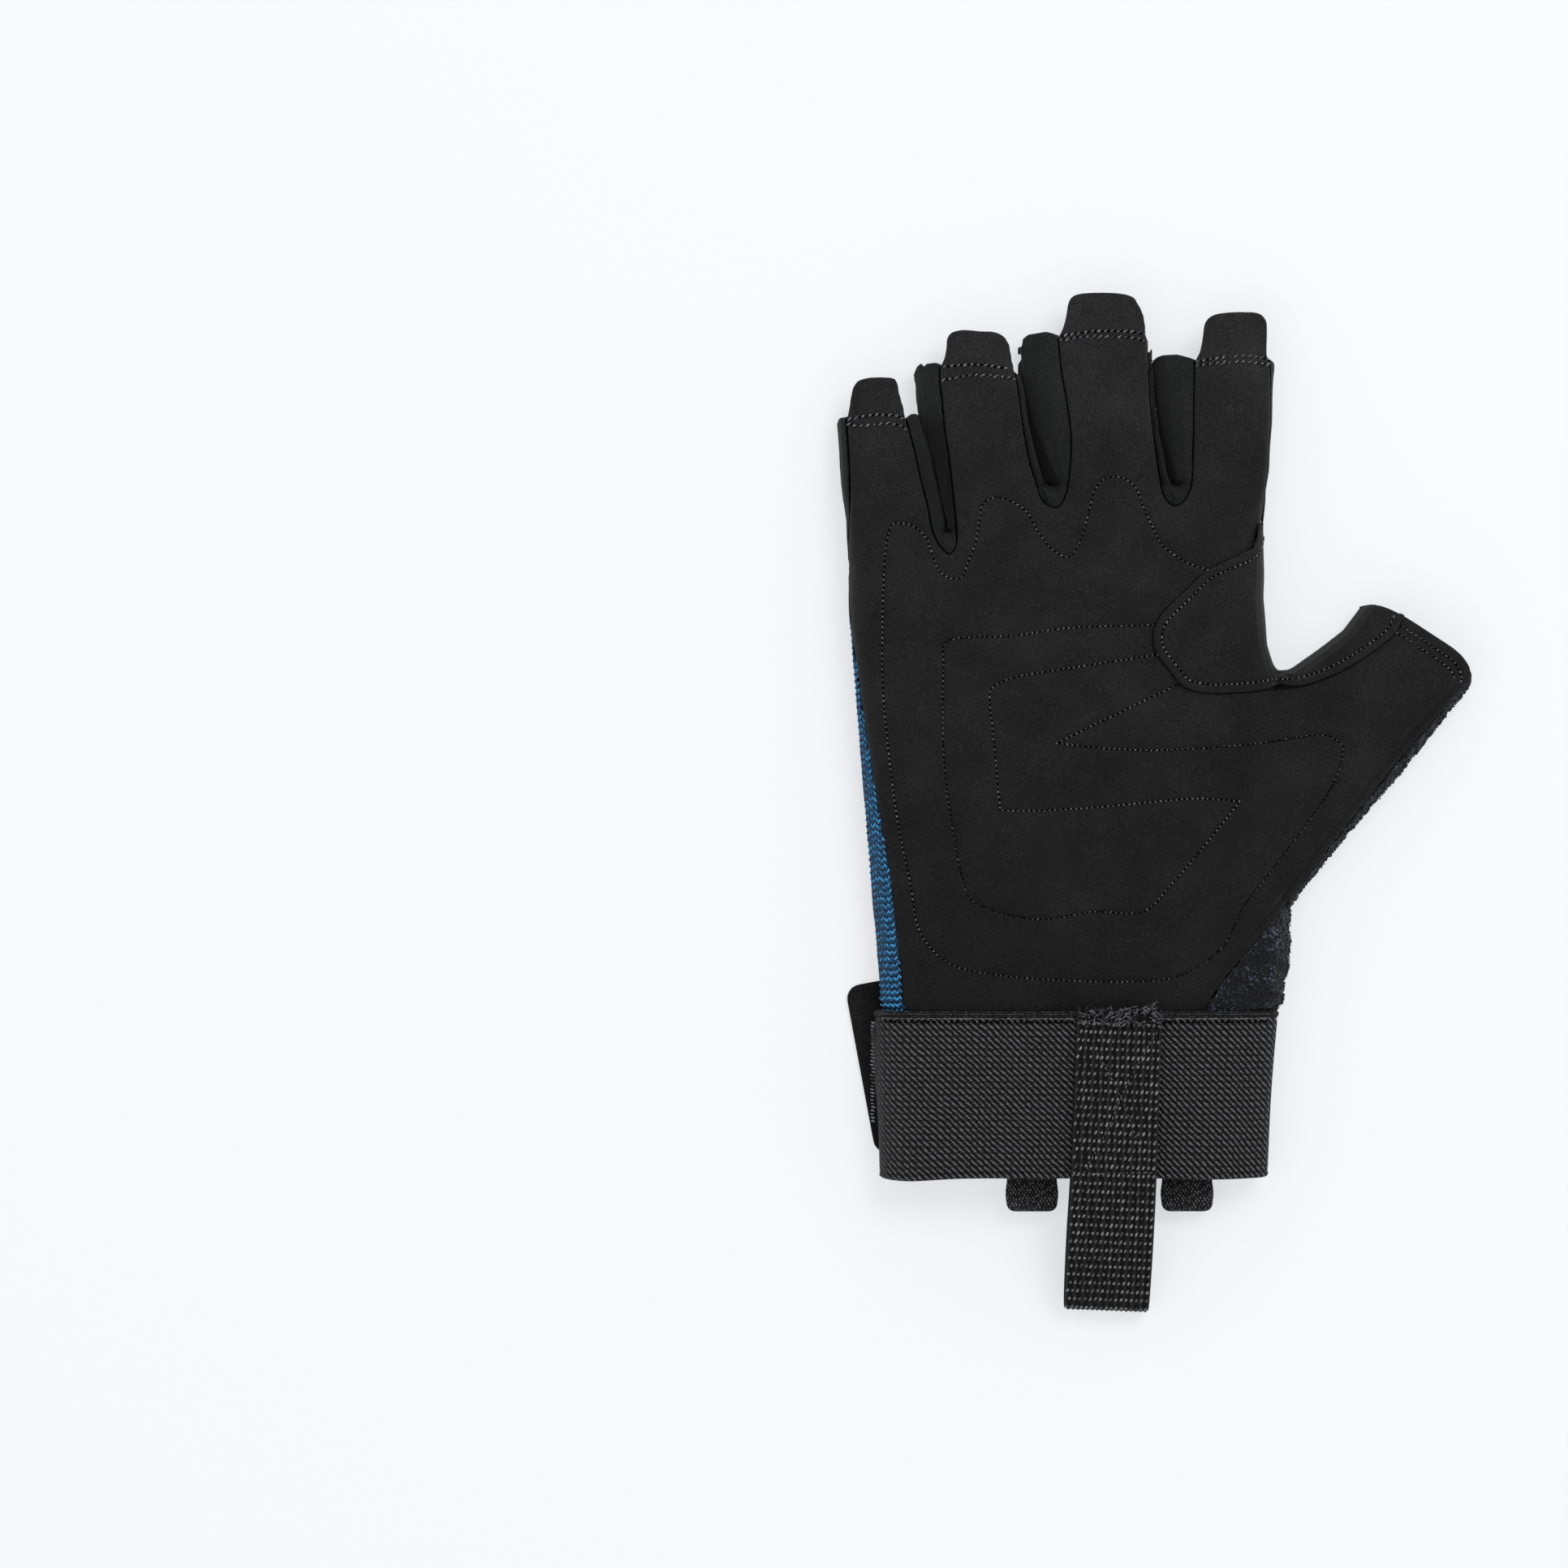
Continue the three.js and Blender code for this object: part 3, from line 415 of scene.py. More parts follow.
thumb = named(
    ["left", "yLeft", "right", "yRight", "leanLeft", "leanRight", "top"],
    [
        [17.0, 22.0, 13.0, -23.0, 5.0, 5.0, 12.2], [28.6, 27.6, 31.0, -23.8, 5.0, 4.0, 12.2],
        [36.6, 33.0, 43.9, -7.7, 5.0, 3.5, 11.8], [43.7, 38.4, 55.6, 5.8, 5.0, 3.0, 11.2],
        [48.2, 44.2, 71.4, 25.6, 4.5, 2.6, 10.2], [51.4, 48.4, 74.6, 29.8, 4.5, 2.6, 10.0],
    ])


# The point a share t of the way from b to c, on a smooth curve through a, b, c and d
def onCurve(a, b, c, d, t):
    square = (2 * a - 5 * b + 4 * c - d) * t * t
    return 0.5 * (2 * b + (c - a) * t + square + (3 * b - a - 3 * c + d) * t ** 3)


# Rows as numbers: ax, ay, bx, by, leanLeft, leanRight, floor, top, with smooth in-between rows
def tubeRows(rows, reach=0.0, steps=4):
    table = np.array([[r["left"], r.get("yLeft", r.get("y")), r["right"], r.get("yRight", r.get("y")),
                       r["leanLeft"], r["leanRight"], r.get("floor", 0.0), r["top"]] for r in rows])
    if reach:
        away = (table[-1, :4] - table[-2, :4])
        away = away / np.linalg.norm((away[:2] + away[2:]) / 2) * reach
        extra = table[-1].copy()
        extra[:4] += away
        table = np.vstack([table, extra])
    fine = []
    for i in range(len(table) - 1):
        p0, p1, p2, p3 = table[max(i - 1, 0)], table[i], table[i + 1], table[min(i + 2, len(table) - 1)]
        for s in range(steps):
            t = s / steps
            straight = p1 + (p2 - p1) * t
            fine.append(0.5 * (straight + onCurve(p0, p1, p2, p3, t)))
    fine.append(table[-1])
    return np.array(fine)


webs = [
    named(fingerColumns, [
        [48.0, -51.5, -43.0, 1.2, 1.2, 11.4], [58.0, -51.0, -43.6, 1.2, 1.2, 10.4],
        [60.5, -50.6, -44.0, 1.2, 1.2, 9.0], [62.2, -50.2, -44.4, 1.2, 1.2, 6.6]]),
    named(fingerColumns, [
        [58.0, -28.0, -18.2, 1.2, 1.2, 11.8], [68.6, -27.6, -18.6, 1.2, 1.2, 10.4],
        [71.0, -27.4, -18.8, 1.2, 1.2, 9.0], [72.6, -27.2, -19.0, 1.2, 1.2, 6.6]]),
    named(fingerColumns, [
        [58.0, -0.6, 9.4, 1.2, 1.2, 11.8], [69.0, -0.2, 9.2, 1.2, 1.2, 10.4],
        [71.2, 0.0, 9.0, 1.2, 1.2, 9.0], [72.6, 0.2, 8.8, 1.2, 1.2, 6.6]]),
]
tubes = [tubeRows(hand)] + [tubeRows(rows, reach=14.0) for rows in fingers.values()]
tubes += [tubeRows(thumb, reach=6.0)] + [tubeRows(rows) for rows in webs]


# Height of one tube's upper skin over points, moved outwards by grow; minus infinity beside it
def tubeHeight(rows, points, grow):
    best = np.full(len(points), -np.inf)
    a, b = rows[:, 0:2], rows[:, 2:4]
    for i in range(len(rows) - 1):
        corners = np.vstack([a[i], a[i + 1], b[i], b[i + 1]])
        low, high = corners.min(0) - 3, corners.max(0) + 3
        near = np.nonzero(((points > low) & (points < high)).all(1))[0]
        if not len(near):
            continue
        p = points[near]

        def side(t):
            pa = a[i] + (a[i + 1] - a[i]) * t[:, None]
            pb = b[i] + (b[i + 1] - b[i]) * t[:, None]
            d = pb - pa
            return d[:, 0] * (p[:, 1] - pa[:, 1]) - d[:, 1] * (p[:, 0] - pa[:, 0]), pa, d

        lowT, highT = np.zeros(len(p)), np.ones(len(p))
        start, end = side(lowT)[0], side(highT)[0]
        held = start * end <= 1e-9
        for _ in range(halvings):
            middle = (lowT + highT) / 2
            same = side(middle)[0] * start > 0
            lowT = np.where(same, middle, lowT)
            highT = np.where(same, highT, middle)
        t = (lowT + highT) / 2
        _, pa, d = side(t)
        width = np.linalg.norm(d, axis=1)
        across = ((p - pa) * d).sum(1) / width
        leanL, leanR, floor, top = (rows[i, k] + (rows[i + 1, k] - rows[i, k]) * t for k in (4, 5, 6, 7))
        fold = floor - grow + foldHeight
        shoulder = top + grow - crown
        fromL, fromR = across + grow, width + grow - across
        share = np.clip((across + grow - leanL) / np.maximum(width + 2 * grow - leanL - leanR, 1e-6), 0, 1)
        z = shoulder + crown * np.sin(share * np.pi)
        for off, lean in ((fromL, leanL), (fromR, leanR)):
            c = np.clip(1 - off / lean, -1, 1)
            edge = fold + (shoulder - fold) * np.sqrt(np.maximum(0, 1 - c * c))
            z = np.where(off < lean, np.minimum(z, edge), z)
        z = np.where(held & (fromL >= -0.02) & (fromR >= -0.02), z, -np.inf)
        best[near] = np.maximum(best[near], z)
    return best


# Height of the whole glove's upper skin, the tubes melted together where they meet
def formHeight(points, grow=0.0, melt=2.2):
    points = np.asarray(points, float)
    stack = np.array([tubeHeight(rows, points, grow) for rows in tubes])
    top = stack.max(0)
    safe = np.where(np.isfinite(top), top, 0)
    mixed = np.log(np.exp(melt * np.where(np.isfinite(stack), stack - safe, -50)).sum(0)) / melt
    return np.where(np.isfinite(top), safe + 0.6 * np.maximum(mixed, 0), np.nan)


# Paths

# A smooth line through points, resampled to one spacing; the ends are kept
def smoothPath(points, spacing):
    p = np.asarray(points, float)
    n = len(p)
    if n == 2:
        count = max(2, int(round(np.linalg.norm(p[1] - p[0]) / spacing)) + 1)
        return p[0] + (p[1] - p[0]) * np.linspace(0, 1, count)[:, None]
    fine = []
    perStretch = 12
    for i in range(n - 1):
        q = [p[max(i - 1, 0)], p[i], p[i + 1], p[min(i + 2, n - 1)]]
        for s in range(perStretch):
            t = s / perStretch
            fine.append(onCurve(*q, t))
    fine.append(p[-1])
    return evenly(np.array(fine), spacing)


def evenly(line, spacing):
    steps = np.linalg.norm(np.diff(line, axis=0), axis=1)
    at = np.concatenate([[0], np.cumsum(steps)])
    count = max(2, int(round(at[-1] / spacing)) + 1)
    want = np.linspace(0, at[-1], count)
    return np.stack([np.interp(want, at, line[:, k]) for k in range(line.shape[1])], 1)


def joined(*pieces):
    out = [pieces[0]]
    for piece in pieces[1:]:
        out.append(piece[1:] if np.linalg.norm(piece[0] - out[-1][-1]) < 0.05 else piece)
    line = np.vstack(out)
    return line[:-1] if np.linalg.norm(line[0] - line[-1]) < 0.05 else line


def closedLine(outline):
    return np.vstack([outline, outline[:1]])


def insideOutline(points, outline):
    x, y = points[:, 0], points[:, 1]
    inside = np.zeros(len(points), bool)
    x0, y0 = outline[:, 0], outline[:, 1]
    x1, y1 = np.roll(x0, -1), np.roll(y0, -1)
    for i in range(len(outline)):
        if y0[i] == y1[i]:
            continue
        crosses = (y0[i] > y) != (y1[i] > y)
        inside ^= crosses & (x < (x1[i] - x0[i]) * (y - y0[i]) / (y1[i] - y0[i]) + x0[i])
    return inside


# The nearest spot on some lines to each point, in plan
def nearestOn(points, lines):
    dense = np.vstack([evenly(line, 0.15) for line in lines])
    tree = kdtree.KDTree(len(dense))
    for i, q in enumerate(dense):
        tree.insert((q[0], q[1], 0), i)
    tree.balance()
    return dense[[tree.find((p[0], p[1], 0))[1] for p in points]]


# Distance from each point to a line or lines, in plan
def distanceTo(points, lines):
    if not len(points):
        return np.zeros(0)
    return np.linalg.norm(nearestOn(points, lines) - np.asarray(points)[:, :2], axis=1)


# Points laid beside a line at the given offsets
def beside(line, offsets, spacing):
    line = evenly(line, spacing)
    along = np.gradient(line, axis=0)
    along /= np.maximum(np.linalg.norm(along, axis=1), 1e-9)[:, None]
    out = np.stack([-along[:, 1], along[:, 0]], 1)
    return np.vstack([line + out * k for k in offsets])


# A line moved to its left by a distance
def offsetLine(line, distance):
    line = evenly(line, 0.5)
    along = np.gradient(line, axis=0)
    along /= np.linalg.norm(along, axis=1)[:, None]
    return line + np.stack([-along[:, 1], along[:, 0]], 1) * distance


# Keeps points that stay apart from those kept before them; room is a distance for each group
def thinned(groups, room):
    kept = []
    cells = {}
    size = max(room)
    for group, gap in zip(groups, room):
        for q in group:
            key = (int(q[0] // size), int(q[1] // size))
            crowded = False
            for i in (-1, 0, 1):
                for j in (-1, 0, 1):
                    for w in cells.get((key[0] + i, key[1] + j), ()):
                        if (w[0] - q[0]) ** 2 + (w[1] - q[1]) ** 2 < gap * gap:
                            crowded = True
            if not crowded:
                cells.setdefault(key, []).append(q)
                kept.append(q)
    return np.array(kept)


# Meshes

# Cloth coordinates, one pair to a vertex
def setWeave(mesh, uv):
    layer = mesh.uv_layers.new(name="weave")
    corner = np.empty(len(mesh.loops), np.int32)
    mesh.loops.foreach_get("vertex_index", corner)
    layer.data.foreach_set("uv", np.asarray(uv)[corner].ravel())


def meshObject(name, verts, faces, material, uv=None):
    mesh = bpy.data.meshes.new(name)
    mesh.from_pydata([tuple(v) for v in verts], [], [tuple(int(i) for i in f) for f in faces])
    if uv is not None:
        setWeave(mesh, uv)
    mesh.materials.append(material)
    mesh.polygons.foreach_set("use_smooth", [True] * len(mesh.polygons))
    mesh.update()
    return addObject(name, mesh)


# A cloth plate over a plan outline. middle(points) gives the height of its middle surface in mm,
# lift(points, toEdge) what is added to its upper face, edge how wide its rounded border is.
def plate(name, outline, spacing, middle, thickness, material, lift=None, lines=(), edge=None,
          edgeRows=(0.3, 0.8, 1.5)):
    edge = edge or thickness / 2
    outline = evenly(closedLine(outline), spacing * 0.8)[:-1]
    if signedArea(outline) < 0:
        outline = outline[::-1]
    rim = beside(closedLine(outline), edgeRows, spacing * 0.8)
    groups, room = [outline], [0.0]
    for line in lines:
        groups.append(beside(line, (0, 0.4, -0.4, 0.9, -0.9, 1.6, -1.6), 0.6))
        room.append(0.3)
    groups.append(rim)
    room.append(0.25)
    low, high = outline.min(0), outline.max(0)
    rows = []
    y, k = low[1], 0
    while y < high[1]:
        x = np.arange(low[0] + (k % 2) * spacing / 2, high[0], spacing)
        rows.append(np.stack([x, np.full(len(x), y)], 1))
        y += spacing * 0.866
        k += 1
    groups.append(np.vstack(rows))
    room.append(spacing * 0.7)
    for i in range(1, len(groups)):
        g = groups[i]
        g = g[insideOutline(g, outline)]
        groups[i] = g[distanceTo(g, [closedLine(outline)]) > 0.2] if len(g) else g
    points = thinned(groups, room)
    n = len(outline)
    found = geometry.delaunay_2d_cdt([Vector(p) for p in points], [(i, (i + 1) % n) for i in range(n)], [],
                                     1, 1e-6)
    flat = np.array([[v.x, v.y] for v in found[0]])
    faces = np.array([f for f in found[2] if len(f) == 3])
    used = np.unique(faces)
    renumber = np.full(len(flat), -1)
    renumber[used] = np.arange(len(used))
    flat, faces = flat[used], renumber[faces]
    toEdge = distanceTo(flat, [closedLine(outline)])
    onEdge = toEdge < 0.02
    z = middle(flat)
    z = filledIn(flat, z, faces)
    z = relaxed(z, faces, 3, onEdge)
    base = np.column_stack([flat, z])
    normal = vertexNormals(base, faces)
    share = np.clip(1 - toEdge / edge, 0, 1)
    half = thickness / 2 * np.sqrt(np.maximum(0, 1 - share ** 2))
    extra = lift(flat, toEdge) if lift is not None else np.zeros(len(flat))
    extra = np.where(onEdge, 0, extra)
    upper = base + normal * (half + extra)[:, None]
    lower = base - normal * half[:, None]
    inner = np.nonzero(~onEdge)[0]
    lowerIndex = np.arange(len(flat))
    lowerIndex[inner] = len(flat) + np.arange(len(inner))
    verts = np.vstack([np.where(onEdge[:, None], base, upper), lower[inner]]) * mm
    allFaces = np.vstack([faces, lowerIndex[faces][:, ::-1]])
    keep = np.array([len(set(f)) == 3 for f in allFaces.tolist()])
    uv = np.vstack([flat, flat[inner]]) * mm
    return meshObject(name, verts, allFaces[keep], material, uv=uv)


def signedArea(outline):
    x, y = outline[:, 0], outline[:, 1]
    return 0.5 * float((x * np.roll(y, -1) - np.roll(x, -1) * y).sum())


# Gives points just beside the form the height of their nearest neighbours
def filledIn(flat, z, faces):
    z = z.copy()
    for _ in range(60):
        missing = ~np.isfinite(z)
        if not missing.any():
            break
        total, count = np.zeros(len(z)), np.zeros(len(z))
        for i, j in ((0, 1), (1, 2), (2, 0)):
            for p, q in ((faces[:, i], faces[:, j]), (faces[:, j], faces[:, i])):
                ok = np.isfinite(z[q])
                np.add.at(total, p[ok], z[q][ok])
                np.add.at(count, p[ok], 1)
        got = missing & (count > 0)
        z[got] = total[got] / count[got]
    return np.where(np.isfinite(z), z, 5.0)


def relaxed(z, faces, times, fixed):
    for _ in range(times):
        total, count = np.zeros(len(z)), np.zeros(len(z))
        for i, j in ((0, 1), (1, 2), (2, 0)):
            np.add.at(total, faces[:, i], z[faces[:, j]])
            np.add.at(total, faces[:, j], z[faces[:, i]])
            np.add.at(count, faces[:, i], 1)
            np.add.at(count, faces[:, j], 1)
        z = np.where(fixed, z, 0.4 * z + 0.6 * total / np.maximum(count, 1))
    return z


def vertexNormals(verts, faces):
    a, b, c = (verts[faces[:, k]] for k in range(3))
    cross = np.cross(b - a, c - a)
    normal = np.zeros_like(verts)
    for k in range(3):
        np.add.at(normal, faces[:, k], cross)
    return normal / np.maximum(np.linalg.norm(normal, axis=1), 1e-12)[:, None]


# 0 below 0 and 1 above 1, with a smooth slope between
def eased(value):
    t = np.clip(value, 0, 1)
    return t * t * (3 - 2 * t)


# 1 at 0, falling to nothing on both sides
def bell(value, width):
    return np.exp(-(value / width) ** 2)


# Small random-looking waves over the plan, the same every run
def ripple(points, size, seed):
    return np.array([noise.noise(Vector((p[0] / size + seed, p[1] / size, seed))) for p in points])


# Lays sewing lines on finished pieces from above, as (point, normal) pairs
class Surface:
    def __init__(self, *things):
        verts, faces = [], []
        for thing in things:
            start = len(verts)
            verts += [v.co.copy() for v in thing.data.vertices]
            faces += [[start + i for i in p.vertices] for p in thing.data.polygons]
        self.tree = BVHTree.FromPolygons(verts, faces)

    def lay(self, line, lift):
        out = []
        for x, y in line:
            hit = self.tree.ray_cast(Vector((x * mm, y * mm, 0.1)), Vector((0, 0, -1)))
            if hit[0] is not None:
                out.append((hit[0] + hit[1] * lift * mm, hit[1]))
        return out


print("helpers ready")

# Seams and outlines, seen from above

# the palm panel's edge down one finger, round the crotch and up the next
notches = [
    [(-57.1, 87.7), (-56.3, 84.5), (-55.1, 80.1), (-54.2, 75.7), (-53.1, 71.2), (-52.0, 66.8),
     (-51.3, 62.8), (-50.0, 59.3), (-48.0, 57.0), (-46.7, 56.4), (-45.3, 58.1), (-45.0, 61.0),
     (-45.3, 65.0), (-46.0, 71.2), (-46.9, 79.2), (-47.8, 85.5), (-48.4, 91.7), (-48.9, 96.1),
     (-48.9, 99.3)],
    [(-32.3, 98.5), (-31.5, 93.4), (-30.8, 88.1), (-29.8, 81.9), (-28.7, 76.6), (-27.3, 72.1),
     (-26.4, 69.4), (-24.6, 67.5), (-22.7, 67.0), (-21.1, 68.0), (-19.9, 71.2), (-19.3, 75.4),
     (-19.0, 80.5), (-19.2, 85.7), (-20.1, 92.2), (-21.1, 97.8), (-21.6, 102.4), (-22.0, 106.2)],
    [(-1.7, 105.6), (-1.7, 99.0), (-1.5, 92.2), (-0.8, 84.7), (0.1, 78.2), (1.0, 72.6), (1.7, 69.8),
     (3.3, 67.8), (4.6, 67.4), (6.6, 68.4), (8.0, 70.8), (8.6, 73.6), (8.9, 82.9), (9.0, 92.2),
     (9.2, 100.8)],
]
palmOuterEdge = [(70.8, 25.6), (69.4, 25.2), (56.4, 10.8), (42.6, -6.2), (30.4, -22.2), (22.0, -32.6),
                 (14.6, -41.4), (9.6, -50.0), (9.6, -54.0)]
thumbHem = [(47.0, 44.8), (50.5, 45.0), (55.9, 42.9), (63.6, 38.0), (69.2, 34.1), (71.8, 30.4),
            (72.2, 26.8), (70.8, 25.6)]
patchEdge = [
    (23.6, 63.4), (21.8, 57.6), (12.2, 52.9), (6.6, 47.8), (1.2, 42.4), (-0.5, 38.4), (0.1, 34.2),
    (3.8, 29.2), (6.6, 26.2), (12.0, 25.0), (20.2, 25.2), (26.2, 26.0), (33.8, 26.8), (41.8, 29.8),
    (50.0, 34.8), (54.4, 38.6), (55.9, 41.6)]
outerQuilting = [
    (11.9, 52.9), (7.2, 54.5), (2.0, 57.9), (-0.2, 61.6), (-2.8, 67.1), (-4.8, 71.9), (-8.3, 74.0),
    (-12.0, 73.4), (-14.1, 70.3), (-15.7, 64.2), (-17.8, 57.9), (-20.4, 55.8), (-23.9, 57.9), (-27.0, 61.9),
    (-29.3, 66.0), (-32.8, 68.4), (-36.3, 69.4), (-39.3, 68.1), (-40.0, 64.9), (-40.9, 59.5), (-42.8, 54.2),
    (-44.4, 51.0), (-47.8, 51.4), (-49.8, 53.4), (-51.3, 57.7), (-52.6, 60.6), (-55.2, 62.9), (-57.6, 63.4),
    (-60.6, 62.3), (-61.9, 50.6), (-62.2, 29.4), (-61.3, 16.4), (-59.1, -2.1), (-55.9, -18.4),
    (-53.5, -29.9), (-46.1, -37.1), (-33.9, -39.5), (-20.9, -40.5), (-6.1, -40.8), (5.2, -39.5),
    (15.0, -33.1), (20.2, -23.4), (28.7, -12.5), (35.0, -4.0), (40.4, 4.2), (42.6, 11.9), (41.1, 14.0),
    (36.9, 15.3), (20.9, 13.1), (3.1, 11.9), (-9.4, 12.1), (-22.6, 13.4)]
innerTip = [(-22.6, 13.4), (-9.4, 19.9), (5.2, 26.9)]
innerQuilting = [
    (-0.6, 40.3), (-19.1, 39.7), (-32.0, 37.9), (-42.8, 37.5), (-48.0, 36.2), (-48.3, 31.2), (-48.5, 14.2),
    (-46.9, -2.1), (-43.7, -18.4), (-40.4, -23.2), (-27.4, -26.6), (-14.3, -24.9), (-3.0, -24.9),
    (3.9, -18.2), (12.0, -8.6), (17.2, -2.1), (19.0, 0.3)]
innerReturn = [
    (19.0, 0.3), (10.2, 0.9), (3.1, 0.5), (-17.6, -1.4), (-33.9, -1.8), (-35.6, 0.3), (-36.9, 14.2),
    (-37.8, 22.3), (-37.2, 26.2), (-32.0, 28.4), (-25.0, 29.7), (-19.1, 30.6), (2.0, 33.8)]
quiltLines = [smoothPath(line, 0.4) for line in (outerQuilting, innerTip, innerQuilting, innerReturn)]

step = 0.5  # mm between the points of every outline
littleSide = smoothPath([
    (-54.3, -56.0), (-54.6, -50.5), (-57.0, -48.0), (-57.5, -45.6), (-58.1, -37.0), (-59.2, -27.0),
    (-60.8, -14.0), (-63.2, 0.0), (-65.8, 17.0), (-67.4, 29.0), (-68.6, 37.0), (-69.2, 42.0), (-69.5, 50.0),
    (-69.6, 58.0), (-69.4, 66.0), (-69.4, 74.0), (-69.8, 82.0), (-70.2, 87.6)], step)
notchPaths = [smoothPath(notch, step) for notch in notches]
indexSide = smoothPath([(25.7, 100.9), (26.1, 97.0), (26.1, 91.0), (25.9, 84.0), (25.4, 76.5), (24.7, 69.5),
                        (24.35, 65.5), (24.2, 63.9)], step)
webFold = smoothPath([(24.2, 63.9), (23.4, 57.0), (23.8, 47.0), (24.9, 36.0), (27.0, 30.2),
                      (28.6, 28.0)], step)
thumbFold = smoothPath([(28.6, 28.0), (36.6, 33.2), (43.7, 38.6), (47.0, 43.0), (47.0, 44.8)], step)
hem = smoothPath(thumbHem, step)
outerEdge = smoothPath(palmOuterEdge, step)
print("outlines laid")

# Makers shared by the pieces below

# Splits a line of (point, normal) pairs where it jumps
def runs(line, gap=1.6):
    out = [[]]
    for pair in line:
        if out[-1] and (pair[0] - out[-1][-1][0]).length > gap * mm:
            out.append([])
        out[-1].append(pair)
    return [part for part in out if len(part) > 1]


def finish(thing, nodes):
    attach(thing, "root")
    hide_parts(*nodes)
    area = sum(p.area for p in thing.data.polygons) / 2 * 1e4
    print(thing.name, "made,", sum(len(p.vertices) - 2 for p in thing.data.polygons), "triangles,",
          round(area, 1), "square cm a side")
    return thing


# The result of an object's modifiers as a plain mesh on the same object
def settled(thing):
    seen = thing.evaluated_get(bpy.context.evaluated_depsgraph_get())
    mesh = bpy.data.meshes.new_from_object(seen)
    mesh.name = thing.name
    thing.modifiers.clear()
    old = thing.data
    thing.data = mesh
    bpy.data.meshes.remove(old)
    return thing


# A solid's own shape as cloth: facets melted by a fine remesh, edges worn round, faces a little uneven
def softened(name, node, look, material, seed):
    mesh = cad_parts[node].data.copy()
    mesh.name = name
    mesh.materials.clear()
    work = bmesh.new()
    work.from_mesh(mesh)
    bmesh.ops.remove_doubles(work, verts=work.verts, dist=1e-6)
    work.to_mesh(mesh)
    work.free()
    thing = addObject(name, mesh)
    remesh = thing.modifiers.new("melt", "REMESH")
    remesh.mode = "VOXEL"
    remesh.voxel_size = look["voxel"] * mm
    relax = thing.modifiers.new("relax", "SMOOTH")
    relax.factor = 0.5
    relax.iterations = look["smoothing"]
    settled(thing)
    verts, normals = vertsOf(thing)
    shift = rippleInSpace(verts, look["waveSize"], seed) * look["waves"]
    setVerts(thing, verts + normals * shift[:, None])
    thing.data.materials.append(material)
    thing.data.polygons.foreach_set("use_smooth", [True] * len(thing.data.polygons))
    return thing


def vertsOf(thing):
    count = len(thing.data.vertices)
    verts = np.empty(count * 3)
    thing.data.vertices.foreach_get("co", verts)
    normals = np.empty(count * 3)
    thing.data.vertices.foreach_get("normal", normals)
    return verts.reshape(-1, 3) / mm, normals.reshape(-1, 3)


def setVerts(thing, verts):
    thing.data.vertices.foreach_set("co", (np.asarray(verts) * mm).ravel())
    thing.data.update()


# Such waves over points in space
def rippleInSpace(points, size, seed):
    return np.array([noise.noise(Vector((p[0] / size + seed, p[1] / size, p[2] / size))) for p in points])


# Cloth coordinates for a piece that folds up round a hand: across it, and from wrist to fingertips
def addWeave(thing):
    verts, normals = vertsOf(thing)
    across = verts[:, 0] - verts[:, 2] * np.clip(normals[:, 0] * 2, -1, 1)
    setWeave(thing.data, np.stack([across, verts[:, 1]], 1) * mm)


# A flat strap swept along centre points. side points across it and out is its outer face's direction at
# each point. relief(s, w) and backRelief(s, w) add height in mm to its two faces, s along the strap and w
# across from its middle. along, if given, is the measure of s that they and the weave go by.
def strap(name, centre, side, out, width, thickness, material, across, relief=None, backRelief=None,
          along=None):
    n = len(centre)
    r = thickness / 2
    w = np.linspace(-width / 2 + r, width / 2 - r, across)
    rounded = [math.cos(a) * r for a in (0.0, 0.45, 0.9)]
    w = np.concatenate([[-width / 2 + r - q for q in rounded], w,
                        [width / 2 - r + q for q in rounded[::-1]]])
    h = np.sqrt(np.clip(1 - (np.maximum(np.abs(w) - (width / 2 - r), 0) / r) ** 2, 0, 1)) * r
    s = np.concatenate([[0], np.cumsum(np.linalg.norm(np.diff(centre, axis=0), axis=1))])
    ends = np.minimum(s, s[-1] - s)
    blunt = np.sqrt(np.clip(1 - (1 - np.minimum(ends / r, 1)) ** 2, 0.06, 1))
    s = s if along is None else along
    m = len(w)
    grid = np.zeros((n, m))
    face = grid + (relief(s[:, None], w[None, :]) if relief else 0)
    back = grid + (backRelief(s[:, None], w[None, :]) if backRelief else 0)
    fade = np.minimum(blunt[:, None], (h / r)[None, :])
    level = centre[:, None] + side[:, None] * w[None, :, None]
    height = h[None, :] * blunt[:, None]
    upper = level + out[:, None] * (height + face * fade)[:, :, None]
    lower = level - out[:, None] * (height + back * fade)[:, :, None]
    verts = np.concatenate([upper, lower[:, 1:-1]], 1)
    ring = 2 * m - 2
    order = list(range(m)) + [m + k for k in range(m - 3, -1, -1)]
    faces = []
    for i in range(n - 1):
        for k in range(ring):
            a, b = order[k], order[(k + 1) % ring]
            faces.append((i * ring + a, i * ring + b, (i + 1) * ring + b, (i + 1) * ring + a))
    for base, flip in ((0, False), ((n - 1) * ring, True)):
        for j in range(m - 1):
            under = m + j - 1 if 0 < j else 0
            nextUnder = m + j if j + 1 < m - 1 else m - 1
            corners = [base + q for q in (j, under, nextUnder, j + 1)]
            corners = [c for k, c in enumerate(corners) if c not in corners[:k]]
            if len(corners) > 2:
                faces.append(corners[::-1] if flip else corners)
    uvUpper = np.stack(np.broadcast_arrays(s[:, None], w[None, :]), 2)
    uv = np.concatenate([uvUpper, uvUpper[:, 1:-1]], 1).reshape(-1, 2) * mm
    thing = meshObject(name, verts.reshape(-1, 3) * mm, faces, material, uv=uv)
    work = bmesh.new()
    work.from_mesh(thing.data)
    bmesh.ops.recalc_face_normals(work, faces=work.faces)
    work.to_mesh(thing.data)
    work.free()
    return thing


